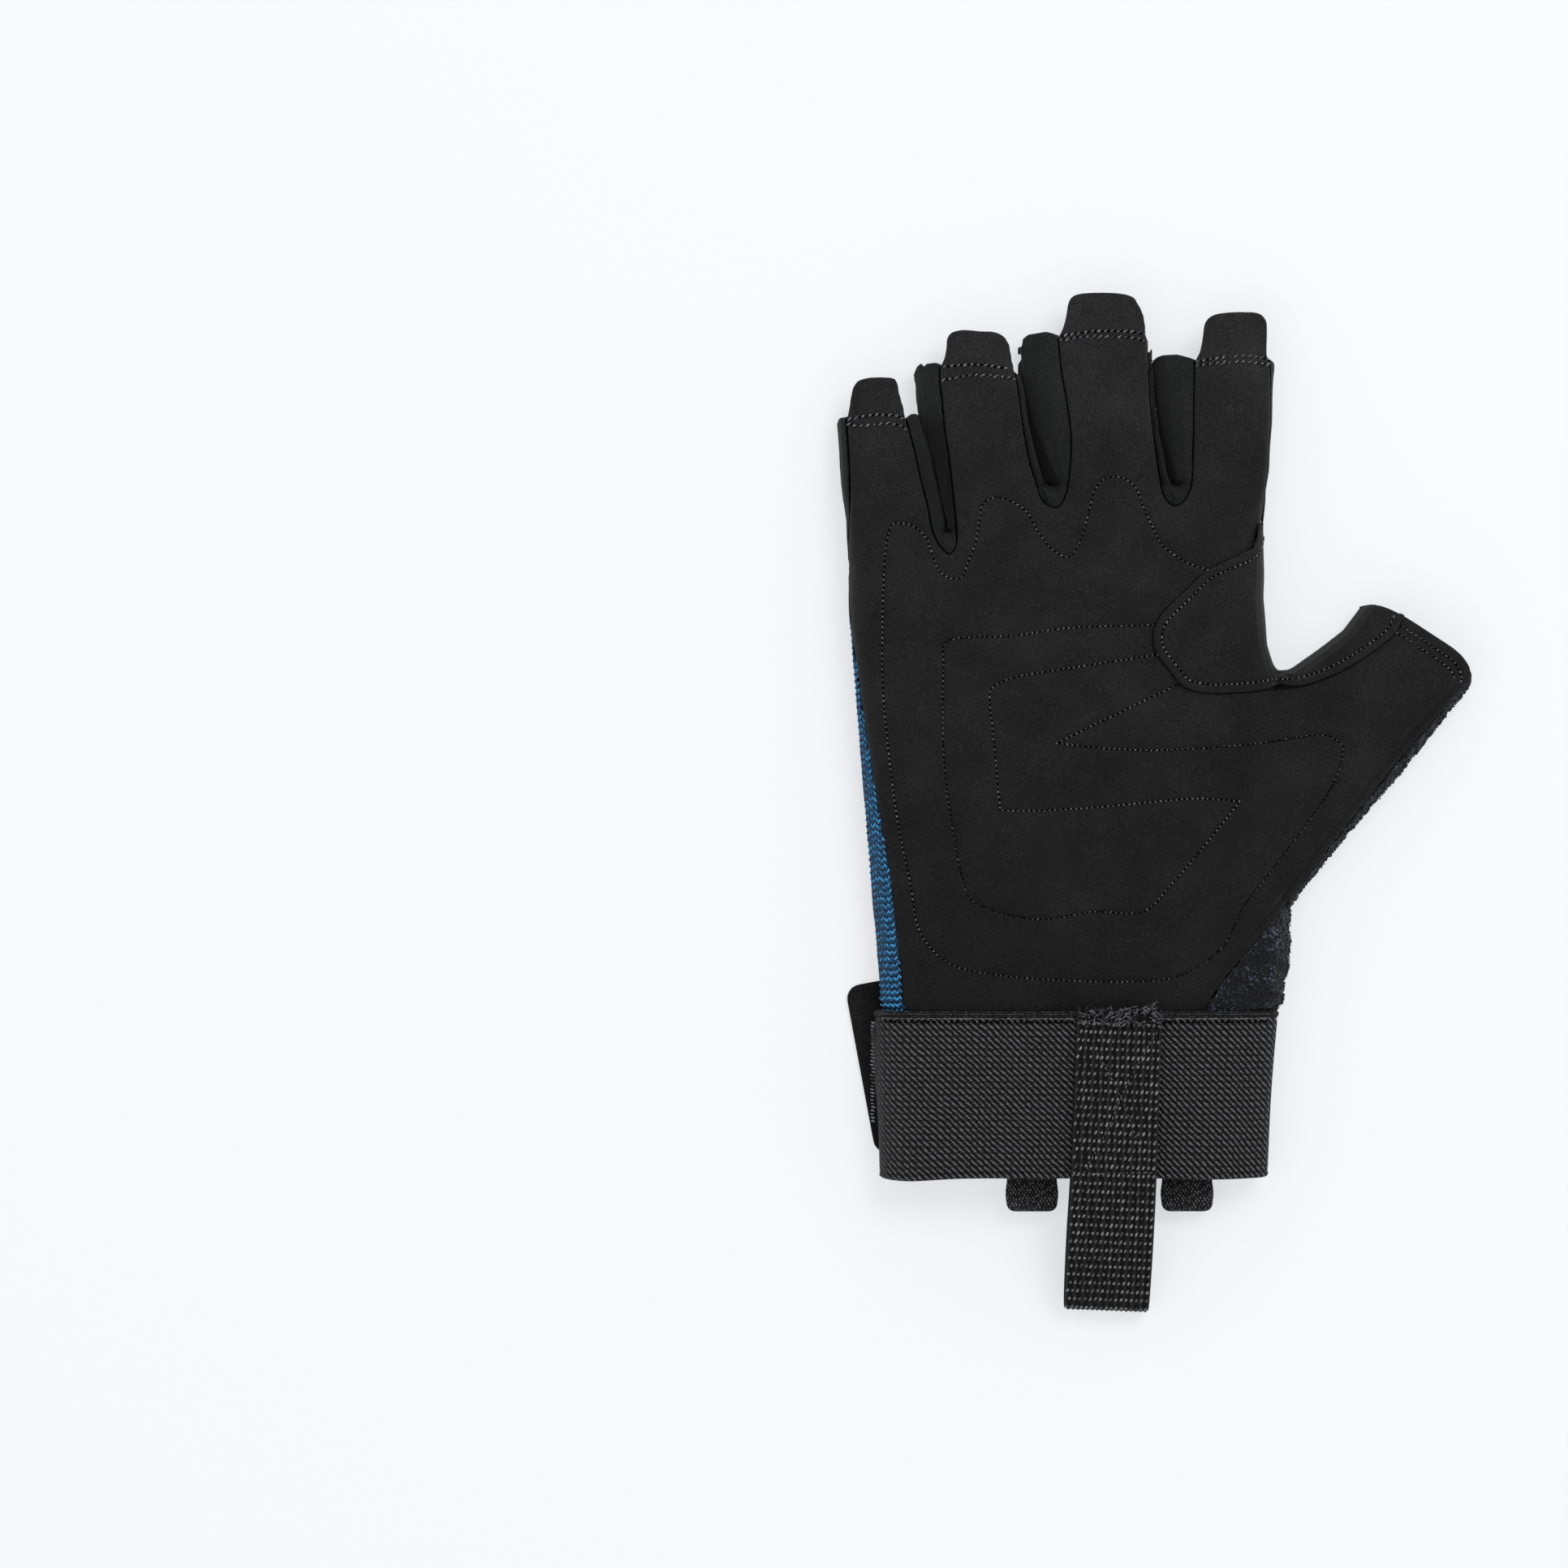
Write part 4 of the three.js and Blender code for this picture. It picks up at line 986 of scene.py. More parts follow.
# A path in one upright plane, "xz" or "yz", as centre, side and out for strap()
def upright(path, spacing, plane):
    line = smoothPath(path, spacing)
    along = np.gradient(line, axis=0)
    along /= np.linalg.norm(along, axis=1)[:, None]
    level = np.zeros(len(line))
    if plane == "xz":
        centre = np.stack([line[:, 0], level, line[:, 1]], 1)
        out = np.stack([-along[:, 1], level, along[:, 0]], 1)
        side = np.tile([0.0, 1.0, 0.0], (len(line), 1))
    else:
        centre = np.stack([level, line[:, 0], line[:, 1]], 1)
        out = np.stack([level, along[:, 1], -along[:, 0]], 1)
        side = np.tile([1.0, 0.0, 0.0], (len(line), 1))
    return centre, side, out


# A new Geometry Nodes tree and its input node; inputs is a list of (kind, socket names)
def newTree(name, inputs, output):
    tree = bpy.data.node_groups.new(name, "GeometryNodeTree")
    for kind, names in inputs:
        for socket in names:
            tree.interface.new_socket(socket, in_out="INPUT", socket_type="NodeSocket" + kind)
    tree.interface.new_socket(output, in_out="OUTPUT", socket_type="NodeSocketGeometry")
    return tree, tree.nodes.new("NodeGroupInput")


def endTree(tree, last):
    out = tree.nodes.new("NodeGroupOutput")
    tree.links.new(last.outputs[0], out.inputs[0])
    return tree


# Geometry Nodes: one short capsule of thread at each pitch along sewing lines
def stitchTree():
    tree, given = newTree("sewn_stitches", [
        ("Geometry", ["Lines"]), ("Float", ["Pitch", "Length", "Thickness", "Lean", "Uneven"]),
        ("Int", ["Seed"]), ("Material", ["Thread"])], "Stitches")
    line = addNode(tree, "GeometryNodeMeshToCurve", {"Mesh": (given, "Lines")})
    holes = addNode(tree, "GeometryNodeCurveToPoints", {"Curve": (line, 0), "Length": (given, "Pitch")},
                    mode="LENGTH")
    along = addNode(tree, "FunctionNodeAlignRotationToVector", {"Vector": (holes, "Tangent")}, axis="X")
    up = addNode(tree, "GeometryNodeInputNamedAttribute", {"Name": "up"}, data_type="FLOAT_VECTOR")
    flat = addNode(tree, "FunctionNodeAlignRotationToVector", {"Rotation": (along, 0), "Vector": (up, 0)},
                   axis="Z", pivot_axis="X")
    lean = addNode(tree, "ShaderNodeCombineXYZ", {"Z": (given, "Lean")})
    turned = addNode(tree, "FunctionNodeRotateRotation", {0: (flat, 0), 1: (lean, 0)},
                     rotation_space="LOCAL")
    less = sums(tree, "SUBTRACT", 1.0, (given, "Uneven"))
    more = sums(tree, "ADD", 1.0, (given, "Uneven"))
    uneven = addNode(tree, "FunctionNodeRandomValue", {"Min": less, "Max": more, "Seed": (given, "Seed")},
                     data_type="FLOAT")
    long = sums(tree, "MULTIPLY", (given, "Length"), (uneven, "Value"))
    size = addNode(tree, "ShaderNodeCombineXYZ",
                   {"X": long, "Y": (given, "Thickness"), "Z": (given, "Thickness")})
    bead = addNode(tree, "GeometryNodeMeshUVSphere", {"Segments": 6, "Rings": 4, "Radius": 0.5})
    laid = addNode(tree, "GeometryNodeInstanceOnPoints", {
        "Points": (holes, "Points"), "Instance": (bead, "Mesh"), "Rotation": (turned, 0),
        "Scale": (size, 0)})
    real = addNode(tree, "GeometryNodeRealizeInstances", {"Geometry": (laid, 0)})
    smooth = addNode(tree, "GeometryNodeSetShadeSmooth", {"Geometry": (real, 0)})
    dyed = addNode(tree, "GeometryNodeSetMaterial",
                   {"Geometry": (smooth, 0), "Material": (given, "Thread")})
    return endTree(tree, dyed)


def useTree(thing, tree, values):
    live = thing.modifiers.new(tree.name, "NODES")
    live.node_group = tree
    for item in tree.interface.items_tree:
        if item.item_type == "SOCKET" and item.in_out == "INPUT" and item.name in values:
            live[item.identifier] = values[item.name]
    thing.update_tag()
    return settled(thing)


# Lines of (point, normal) pairs as wire edges that carry their normals
def wires(name, lines):
    verts, ups, edges = [], [], []
    for line in lines:
        start = len(verts)
        verts += [tuple(point) for point, up in line]
        ups += [tuple(up) for point, up in line]
        edges += [(start + i, start + i + 1) for i in range(len(line) - 1)]
    mesh = bpy.data.meshes.new(name)
    mesh.from_pydata(verts, edges, [])
    layer = mesh.attributes.new("up", "FLOAT_VECTOR", "POINT")
    layer.data.foreach_set("vector", np.array(ups, np.float32).ravel())
    return addObject(name, mesh)


# Geometry Nodes: loose threads, as thin round cords
def threadTree():
    tree, given = newTree("loose_threads", [
        ("Geometry", ["Lines"]), ("Float", ["Thickness"]), ("Material", ["Thread"])], "Threads")
    line = addNode(tree, "GeometryNodeMeshToCurve", {"Mesh": (given, "Lines")})
    thin = sums(tree, "MULTIPLY", (given, "Thickness"), 0.5)
    ring = addNode(tree, "GeometryNodeCurvePrimitiveCircle", {"Resolution": 5, "Radius": thin})
    cord = addNode(tree, "GeometryNodeCurveToMesh",
                   {"Curve": (line, 0), "Profile Curve": (ring, 0), "Fill Caps": True})
    real = addNode(tree, "GeometryNodeRealizeInstances", {"Geometry": (cord, 0)})
    dyed = addNode(tree, "GeometryNodeSetMaterial", {"Geometry": (real, 0), "Material": (given, "Thread")})
    return endTree(tree, dyed)


# Geometry Nodes: little loops of yarn standing on a cloth
def pileTree():
    tree, given = newTree("terry_loops", [
        ("Geometry", ["Cloth"]), ("Float", ["Density", "Loop", "Yarn"]), ("Int", ["Seed"]),
        ("Material", ["Cotton"])], "Loops")
    roots = addNode(tree, "GeometryNodeDistributePointsOnFaces", {
        "Mesh": (given, "Cloth"), "Density": (given, "Density"),
        "Seed": (given, "Seed")}, distribute_method="RANDOM")
    spin = addNode(tree, "FunctionNodeRandomValue",
                   {"Min": (-0.5, -0.5, 0.0), "Max": (0.5, 0.5, 6.28), "Seed": 4}, data_type="FLOAT_VECTOR")
    turned = addNode(tree, "FunctionNodeRotateRotation", {0: (roots, "Rotation"), 1: (spin, "Value")},
                     rotation_space="LOCAL")
    size = addNode(tree, "FunctionNodeRandomValue", {2: 0.7, 3: 1.3, "Seed": 5}, data_type="FLOAT")
    scale = sums(tree, "MULTIPLY", (size, 1), (given, "Loop"))
    ring = addNode(tree, "GeometryNodeCurvePrimitiveCircle", {"Resolution": 7, "Radius": 0.5})
    yarn = addNode(tree, "GeometryNodeCurvePrimitiveCircle", {"Resolution": 3, "Radius": (given, "Yarn")})
    loop = addNode(tree, "GeometryNodeCurveToMesh", {"Curve": (ring, 0), "Profile Curve": (yarn, 0)})
    upright = addNode(tree, "GeometryNodeTransform",
                      {"Geometry": (loop, 0), "Rotation": (math.pi / 2, 0.0, 0.0),
                       "Translation": (0.0, 0.0, -0.05)})
    laid = addNode(tree, "GeometryNodeInstanceOnPoints", {
        "Points": (roots, "Points"), "Instance": (upright, 0), "Rotation": (turned, 0), "Scale": scale})
    real = addNode(tree, "GeometryNodeRealizeInstances", {"Geometry": (laid, 0)})
    smooth = addNode(tree, "GeometryNodeSetShadeSmooth", {"Geometry": (real, 0)})
    dyed = addNode(tree, "GeometryNodeSetMaterial",
                   {"Geometry": (smooth, 0), "Material": (given, "Cotton")})
    return endTree(tree, dyed)


stitches, threads, pile = stitchTree(), threadTree(), pileTree()


# Thread, yarn or loops that belong to no solid
def addLoose(thing):
    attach(thing, "root")
    print(thing.name, "added,", len(thing.data.polygons), "faces")


def sew(name, lines, look, material, seed=1):
    thing = useTree(wires(name, [line for line in lines if len(line) > 1]), stitches, {
        "Pitch": look["pitch"] * mm, "Length": look["length"] * mm, "Thickness": look["thickness"] * mm,
        "Lean": math.radians(look.get("lean", 0)), "Uneven": look.get("uneven", 0.1), "Seed": seed,
        "Thread": material})
    addLoose(thing)


# Palm panel: quilted suede, one cut with its pull tabs, pillowed between the sewn lines
palm = {"thickness": 1.2, "spacing": 1.0, "waveSize": 16.0, "smallWaveSize": 6.0, "pillow": 0.45,
        "pillowReach": 3.5, "groove": 0.55, "grooveWidth": 0.45, "waves": 0.25,
        "tabDrop": 1.3, "tabDropOver": 4.0}
tabEnds = {"little": 87.7, "ring": 99.2, "middle": 106.4, "index": 101.0}
tabEdges = {
    "little": [(-70.2, 87.6), (-69.7, 89.9), (-69.3, 92.6), (-68.6, 95.0), (-67.3, 96.3), (-64.4, 96.9),
               (-60.0, 96.8), (-58.9, 95.9), (-58.4, 93.4), (-57.8, 91.2), (-57.3, 89.0), (-57.1, 87.7)],
    "ring": [(-48.9, 99.3), (-48.0, 101.4), (-47.5, 104.1), (-47.4, 105.8), (-46.2, 107.2), (-43.5, 107.7),
             (-40.0, 107.4), (-36.9, 107.3), (-34.7, 106.4), (-33.4, 104.5), (-32.9, 101.4), (-32.3, 98.5)],
    "middle": [(-22.0, 106.2), (-21.3, 107.4), (-20.6, 109.4), (-20.2, 111.3), (-19.7, 114.0),
               (-18.7, 115.4), (-16.7, 116.0), (-12.5, 116.2), (-7.8, 116.0), (-5.0, 115.2), (-3.9, 113.6),
               (-2.9, 111.7), (-2.4, 108.9), (-2.3, 106.6), (-1.7, 105.6)],
    "index": [(9.2, 100.8), (10.1, 102.4), (10.8, 105.2), (11.2, 108.5), (11.9, 110.1), (13.6, 111.2),
              (16.8, 111.7), (20.6, 111.8), (23.4, 111.6), (25.0, 110.5), (25.5, 108.9), (25.5, 105.2),
              (25.4, 101.8), (25.7, 100.9)],
}
tabPaths = [smoothPath(edge, 0.5) for edge in tabEdges.values()]
palmOutline = joined(
    littleSide, tabPaths[0], notchPaths[0], tabPaths[1], notchPaths[1], tabPaths[2], notchPaths[2],
    tabPaths[3],
    indexSide, webFold, thumbFold, hem, outerEdge, np.array([outerEdge[-1], littleSide[0]]))


def palmMiddle(points):
    z = formHeight(points, grow=-palm["thickness"] / 2)
    for name, y in tabEnds.items():
        edge = np.array(tabEdges[name])
        x = points[:, 0]
        own = (x > edge[:, 0].min() - 3) & (x < edge[:, 0].max() + 3) & (points[:, 1] > y - 2)
        z = np.where(own, z - palm["tabDrop"] * eased((points[:, 1] - y) / palm["tabDropOver"]), z)
    waves, smallWaves = ripple(points, palm["waveSize"], 3.7), ripple(points, palm["smallWaveSize"], 9.1)
    return z + palm["waves"] * waves + 0.4 * palm["waves"] * smallWaves


# along the thumb the edge is turned in, and a groove shows how wide the turning is
turning = offsetLine(outerEdge, -1.7)
turning = turning[(turning[:, 1] > -38) & insideOutline(turning, palmOutline)]


def palmLift(points, toEdge):
    away = distanceTo(points, quiltLines + [turning])
    puff = palm["pillow"] * (1 - np.exp(-away / palm["pillowReach"])) * np.clip(toEdge / 3.0, 0, 1)
    return puff - palm["groove"] * bell(away, palm["grooveWidth"]) * np.clip(toEdge / 1.5, 0, 1)


palmPanel = plate("palm_suede", palmOutline, palm["spacing"], palmMiddle, palm["thickness"], suede,
                  lift=palmLift, lines=quiltLines + [turning], edge=0.8)
finish(palmPanel, ["palm_panel", "pull_tab_little", "pull_tab_ring", "pull_tab_middle", "pull_tab_index"])

palmEdge = [closedLine(palmOutline)]


# Distance in from the palm panel's edge, less than nothing outside it
def underPalm(verts):
    return distanceTo(verts, palmEdge) * np.where(insideOutline(verts[:, :2], palmOutline), 1, -1)


# Where a finger's left or right side is at each y
def sideAt(rows, side, y):
    return np.interp(y, [r["y"] for r in rows], [r[side] for r in rows])


# Neighbouring fingers lie against each other: their walls are brought together until a thin gap is left
def closeGaps(verts, apart, reach=3.0):
    x, y = verts[:, 0].copy(), verts[:, 1]
    rows = list(fingers.values())
    for near, far in zip(rows, rows[1:]):
        right, left = sideAt(near, "right", y), sideAt(far, "left", y)
        spare = np.clip((left - right - apart) / 2, 0, 1.0) * eased((y - 62) / 8)
        nearSide = x < (left + right) / 2
        weight = np.where(nearSide, np.clip(1 + (x - right) / reach, 0, 1),
                          -np.clip(1 - (x - left) / reach, 0, 1))
        verts[:, 0] += spare * weight
    return verts


# Finger walls and side panels: the same suede, cut narrow, their edges turned under the palm panel's
walls = {"voxel": 0.38, "smoothing": 4, "waves": 0.25, "waveSize": 6.0, "tuck": 1.9, "lap": 0.4,
         "apart": -0.45,
         "reach": 5.0, "ringLean": 1.2, "indexOut": 0.6, "indexDown": 1.7}
wallEnds = {  # where each finger's walls end, seen from above: rounded outer corners and arched tops
    "little": [(-72.9, 86.4), (-71.9, 87.9), (-70.2, 88.1), (-57.2, 87.6), (-55.6, 88.7), (-54.2, 88.8),
               (-53.3, 88.4), (-52.6, 87.2)],
    "ring": [(-55.2, 96.4), (-54.3, 98.3), (-53.4, 99.4), (-52.3, 100.0), (-50.0, 100.3), (-48.5, 99.8),
             (-32.3, 98.4), (-31.0, 97.8)],
    "middle": [(-31.6, 102.6), (-30.8, 104.6), (-30.0, 105.9), (-28.8, 106.8), (-25.0, 107.2),
               (-22.0, 106.5), (-2.0, 105.9), (-1.0, 105.3)],
    "index": [(-1.2, 99.3), (-0.5, 100.6), (0.3, 101.5), (1.6, 102.1), (5.0, 102.1), (9.2, 101.0),
              (25.5, 101.6), (27.6, 100.4)],
}
nubs = [(-46.9, 59.0), (-23.2, 69.6), (5.2, 69.7)]  # where the crotches are gathered
nub = {"height": 1.2, "radius": 1.2, "crease": 1.6, "creaseAbove": 2.9, "creaseWidth": 0.7,
       "creaseReach": 2.5}
# Painted shade on the walls in each gap, where they lie in shadow: how dark on the near finger's wall and
# on the far one's, below which height the far one's is darkened, and how wide a strip of the far one's is
# also darkened at four heights
paintedShade = [
    {"near": 0.0, "far": 0.55, "below": 90.0, "strip": [0.0, 0.0, 0.0, 0.0]},
    {"near": 0.6, "far": 0.0, "below": 0.0, "strip": [3.2, 3.0, 2.0, 0.2]},
    {"near": 0.95, "far": 0.0, "below": 0.0, "strip": [2.6, 1.8, 0.9, 0.2]}]
stripHeights = [68.0, 73.0, 84.0, 98.0]
wallPieces = []
for k, node in enumerate(["fourchette_little_ring", "fourchette_ring_middle", "fourchette_middle_index",
                          "little_side_panel", "index_side_panel"]):
    wall = softened(node + "_suede", node, walls, suedeSide, k * 3.1)
    verts, normals = vertsOf(wall)
    deep = underPalm(verts)
    tucked = eased((deep + 1.0) / 1.3) * np.clip((verts[:, 2] - 2.5) / 4, 0, 1)
    verts[:, 2] -= walls["tuck"] * tucked
    nearest = nearestOn(verts, palmEdge)
    pull = walls["lap"] * eased((deep + 1.8) / 1.2) * (deep < 0) * np.clip((verts[:, 2] - 4) / 3, 0, 1)
    verts[:, :2] += (nearest - verts[:, :2]) / np.maximum(np.abs(deep), 0.1)[:, None] * pull[:, None]
    if k < 3:
        far = np.hypot(verts[:, 0] - nubs[k][0], verts[:, 1] - nubs[k][1])
        onTop = np.clip((verts[:, 2] - 4) / 3, 0, 1)
        verts[:, 2] += nub["height"] * bell(far, nub["radius"]) * onTop
        line = bell(verts[:, 1] - nubs[k][1] - nub["creaseAbove"], nub["creaseWidth"])
        verts[:, 2] -= nub["crease"] * line * onTop * bell(verts[:, 0] - nubs[k][0], nub["creaseReach"])
    verts = closeGaps(verts, walls["apart"])
    if k == 0:  # the ring finger's left wall leans out over the little finger
        leaning = eased((verts[:, 1] - 80) / 8) * eased((verts[:, 0] + 50) / -3) * (verts[:, 0] > -56)
        verts[:, 0] -= walls["ringLean"] * leaning
    if node == "index_side_panel":  # its lower end fills out over the tip of the gusset patch
        verts[:, 0] += walls["indexOut"] * eased((72 - verts[:, 1]) / 8)
        verts[:, 1] -= walls["indexDown"] * eased((67 - verts[:, 1]) / 3)
    for name, rows in fingers.items():
        end = rows[-1]["y"]
        own = (verts[:, 0] > rows[-1]["left"] - 2.5) & (verts[:, 0] < rows[-1]["right"] + 1.0)
        edge = np.array(wallEnds[name])
        moved = np.interp(verts[:, 0], edge[:, 0], edge[:, 1]) - end
        verts[:, 1] += np.where(own, moved * eased((verts[:, 1] - end + walls["reach"]) / walls["reach"]),
                                0)
    setVerts(wall, verts)
    # painted shade: the walls in each gap darkened where they lie in shadow, darkest in the crease above
    # each crotch
    if k < 3:
        x, y, z = verts.T
        near, far = list(fingers.values())[k:k + 2]
        right, left = sideAt(near, "right", y), sideAt(far, "left", y)
        over = eased((x - (left + right) / 2) / 0.4 + 0.5)
        strip = eased((left - 0.6 + np.interp(y, stripHeights, paintedShade[k]["strip"]) - x) / 0.9 + 0.5)
        down = (1 - over) * paintedShade[k]["near"] * eased((y - nubs[k][1] - 1) / 2)
        down = down + over * np.maximum(paintedShade[k]["far"] * eased((paintedShade[k]["below"] - y) / 6),
                                        0.75 * strip * (paintedShade[k]["near"] > 0))
        creaseShade = bell(y - nubs[k][1] - nub["creaseAbove"], 0.9) * bell(x - nubs[k][0], 1.5)
        down = np.clip(np.maximum(down * eased((y - nubs[k][1] - 0.5) / 2), 0.9 * creaseShade), 0, 0.92)
        layer = wall.data.attributes.new("paintedShade", "FLOAT", "POINT")
        layer.data.foreach_set("value", down.astype(np.float32))
    wallPieces.append(wall)
    finish(wall, [node])

flare = {"from": -44, "y": [-50.0, -47.4, -45.4], "x": [-59.4, -62.2, -62.8]}


# The little-finger side stays wide until it goes under the cuff: how far it moves there, in mm
def wristFlare(y):
    plain = np.interp(y, tubes[0][:, 1], tubes[0][:, 0])
    return np.where(y < flare["from"], np.minimum(np.interp(y, flare["y"], flare["x"]) - plain, 0), 0)


# Back of the hand: blue rib knit, seen along the little-finger side and hidden behind the finger walls
back = {"voxel": 0.8, "smoothing": 3, "waves": 0.25, "waveSize": 9.0, "narrower": 0.6, "shorter": 1.8,
        "drawnOver": 2.2, "drawnIn": 1.0, "drawnUp": 1.3,
        "knuckle": {"low": 42, "high": 66, "left": -60, "above": 2.2}, "fingers": {"low": 56, "above": 0.5}}
knitBack = softened("back_knit", "back_panel", back, knit, 5.0)
addWeave(knitBack)
verts, normals = vertsOf(knitBack)
verts = closeGaps(verts, walls["apart"])
for rows in fingers.values():
    left, right = sideAt(rows, "left", verts[:, 1]), sideAt(rows, "right", verts[:, 1])
    off = verts[:, 0] - (left + right) / 2
    half = (right - left) / 2
    own = (np.abs(off) < half + 0.7) & (verts[:, 1] > 56)
    edge = np.clip((np.abs(off) - half + 2.5) / 2.5, 0, 1) * eased((verts[:, 1] - 62) / 8)
    verts[:, 0] -= np.where(own, np.sign(off) * back["narrower"] * edge, 0)
    verts[:, 1] -= np.where(own, back["shorter"] * eased((verts[:, 1] - rows[-1]["y"] + 6) / 6), 0)
verts[:, 0] += wristFlare(verts[:, 1]) * np.clip(1 - (verts[:, 0] + 62.5) / 6, 0, 1)
# along the little-finger side its edge is drawn in and up behind the palm panel's, which laps over it
lapped = littleSide[np.argsort(littleSide[:, 1])]
height = palmMiddle(lapped + (0.4, 0))
lapped, height = lapped[np.isfinite(height)], height[np.isfinite(height)]
edgeX, edgeZ = (np.interp(verts[:, 1], lapped[:, 1], part) for part in (lapped[:, 0], height))
drawn = np.clip(1 - (edgeZ - verts[:, 2]) / back["drawnOver"], 0, 1) * (verts[:, 0] < edgeX + 2.5)
drawn = drawn * eased((verts[:, 1] - 2) / 10) * eased((68 - verts[:, 1]) / 4)
verts[:, 0] += back["drawnIn"] * drawn
room = np.nan_to_num(formHeight(verts[:, :2], grow=-palm["thickness"]) - 0.5 - verts[:, 2])
verts[:, 2] += np.clip(room, 0, back["drawnUp"]) * drawn
setVerts(knitBack, verts)
# beside the knuckles, and inside the fingers, suede lies over the knit
knitBack.data.materials.append(suedeSide)
knuckle, inFingers = back["knuckle"], back["fingers"]
for face in knitBack.data.polygons:
    x, y, z = face.center / mm
    onKnuckle = knuckle["low"] < y < knuckle["high"] and x < knuckle["left"] and z > knuckle["above"]
    if onKnuckle or (y > inFingers["low"] and z > inFingers["above"]):
        face.material_index = 1
finish(knitBack, ["back_panel"])

# Thumb underside: navy terry
terryPanel = {"voxel": 0.6, "smoothing": 3, "waves": 0.35, "waveSize": 3.0, "footDown": 0.5,
              "wristY": [-48.0, -47.4, -47.0, -45.4, -43.4, -41.0],
              "wristOut": [0.0, 2.6, 4.2, 1.6, 0.8, 0.2]}
thumbTerry = softened("thumb_terry", "thumb_terry_panel", terryPanel, terry, 2.0)
verts, normals = vertsOf(thumbTerry)
wrist = np.interp(verts[:, 1], terryPanel["wristY"], terryPanel["wristOut"])
# it fills out to the cuff
verts[:, 0] += wrist * (verts[:, 1] < -41) * (verts[:, 1] > -48) * eased((verts[:, 0] - 16) / 8)
verts[:, 1] -= terryPanel["footDown"] * eased((-44.5 - verts[:, 1]) / 2) * eased((verts[:, 0] - 14) / 4)
setVerts(thumbTerry, verts)
finish(thumbTerry, ["thumb_terry_panel"])
# loops to a square mm, and sizes in mm
terryPile = {"density": 0.95, "loop": 0.66, "yarn": 0.17, "lowest": 1.2}


# The outer skin of a closed cloth: its faces that don't look back at the cloth itself
def outerSkin(name, thing, lowest):
    skin = bmesh.new()
    skin.from_mesh(thing.data)
    tree = BVHTree.FromBMesh(skin)
    inside = [f for f in skin.faces if f.calc_center_median().z < lowest * mm
              or tree.ray_cast(f.calc_center_median() + f.normal * 0.3 * mm, f.normal, 0.03)[0] is not None]
    bmesh.ops.delete(skin, geom=inside, context="FACES")
    mesh = bpy.data.meshes.new(name)
    skin.to_mesh(mesh)
    skin.free()
    return addObject(name, mesh)


loops = useTree(outerSkin("thumb_terry_loops", thumbTerry, terryPile["lowest"]), pile, {
    "Density": terryPile["density"] / mm ** 2, "Loop": terryPile["loop"] * mm, "Yarn": terryPile["yarn"],
    "Seed": 11, "Cotton": terry})
addLoose(loops)

# Gusset patch: smooth suede over the web of the thumb, its cut edge rolled and topstitched
patch = {"voxel": 0.42, "smoothing": 3, "waves": 0.2, "waveSize": 9.0, "rim": 0.55, "rimAt": 0.8,
         "rimWidth": 0.6, "seam": 0.35, "seamAt": 1.8, "seamWidth": 0.4,
         "notch": (28.3, 28.4), "notchFill": 1.5, "notchReach": 2.4, "tipRight": 0.5, "tipDown": 1.2,
         "tipUp": 0.6}
patchLine = smoothPath(patchEdge, 0.4)
gusset = softened("gusset_suede", "gusset_patch", patch, suede, 8.0)
verts, normals = vertsOf(gusset)
away = distanceTo(verts, [patchLine])
shape = patch["rim"] * bell(away - patch["rimAt"], patch["rimWidth"])
shape = shape - patch["seam"] * bell(away - patch["seamAt"], patch["seamWidth"])
verts = verts + normals * (shape * np.clip(normals[:, 2] * 2, 0, 1))[:, None]
far = np.hypot(verts[:, 0] - patch["notch"][0], verts[:, 1] - patch["notch"][1])
verts[:, 1] += patch["notchFill"] * bell(far, patch["notchReach"])
# its upper tip goes in under the side panel's edge
tip = eased((verts[:, 1] - 45) / 8) * eased((verts[:, 0] - 20) / 3)
verts[:, 0] += patch["tipRight"] * tip * eased((64 - verts[:, 1]) / 4)
verts[:, 2] -= patch["tipDown"] * eased((verts[:, 1] - 57) / 4) * (verts[:, 0] > 20)
verts[:, 1] += patch["tipUp"] * eased((verts[:, 1] - 60) / 3) * (verts[:, 0] > 20)
setVerts(gusset, verts)
finish(gusset, ["gusset_patch"])

# Cuff: a band of twill elastic with a rolled selvage along its upper edge
cuffTop, cuffBottom, cuffMiddle, cuffTaper = -47.4, -85.5, -18.0, 0.972
cuff = {"thickness": 1.5, "selvageHeight": 0.3, "selvageGroove": 0.25, "footHeight": 0.2,
        "footGroove": 0.15,
        "sagLeft": 0.75, "sagRight": 0.3, "corner": 1.5}
cuffPath = [
    (-63.3, 4.4), (-62.9, 7.2), (-60.8, 10.4), (-55.5, 12.8), (-40.0, 13.7), (-18.0, 14.0), (4.0, 13.7),
    (17.0, 12.6), (24.8, 10.2), (27.0, 6.8), (24.8, 3.6), (18.0, 2.1), (0.0, 2.0), (-22.0, 2.2),
    (-38.0, 2.4), (-50.6, 2.5)]


def cuffRelief(s, w):
    fromTop = (cuffTop - cuffBottom) / 2 - w
    fromBottom = (cuffTop - cuffBottom) / 2 + w
    ridge = cuff["selvageHeight"] * bell(fromTop - 0.8, 0.6)
    ridge = ridge - cuff["selvageGroove"] * bell(fromTop - 1.9, 0.3)
    foot = cuff["footHeight"] * bell(fromBottom - 0.7, 0.5)
    foot = foot - cuff["footGroove"] * bell(fromBottom - 1.6, 0.3)
    return ridge + foot + 0.12 * np.sin(s / 9.0 + w / 7.0) + 0.1 * np.sin(s / 23.0 - w / 11.0)


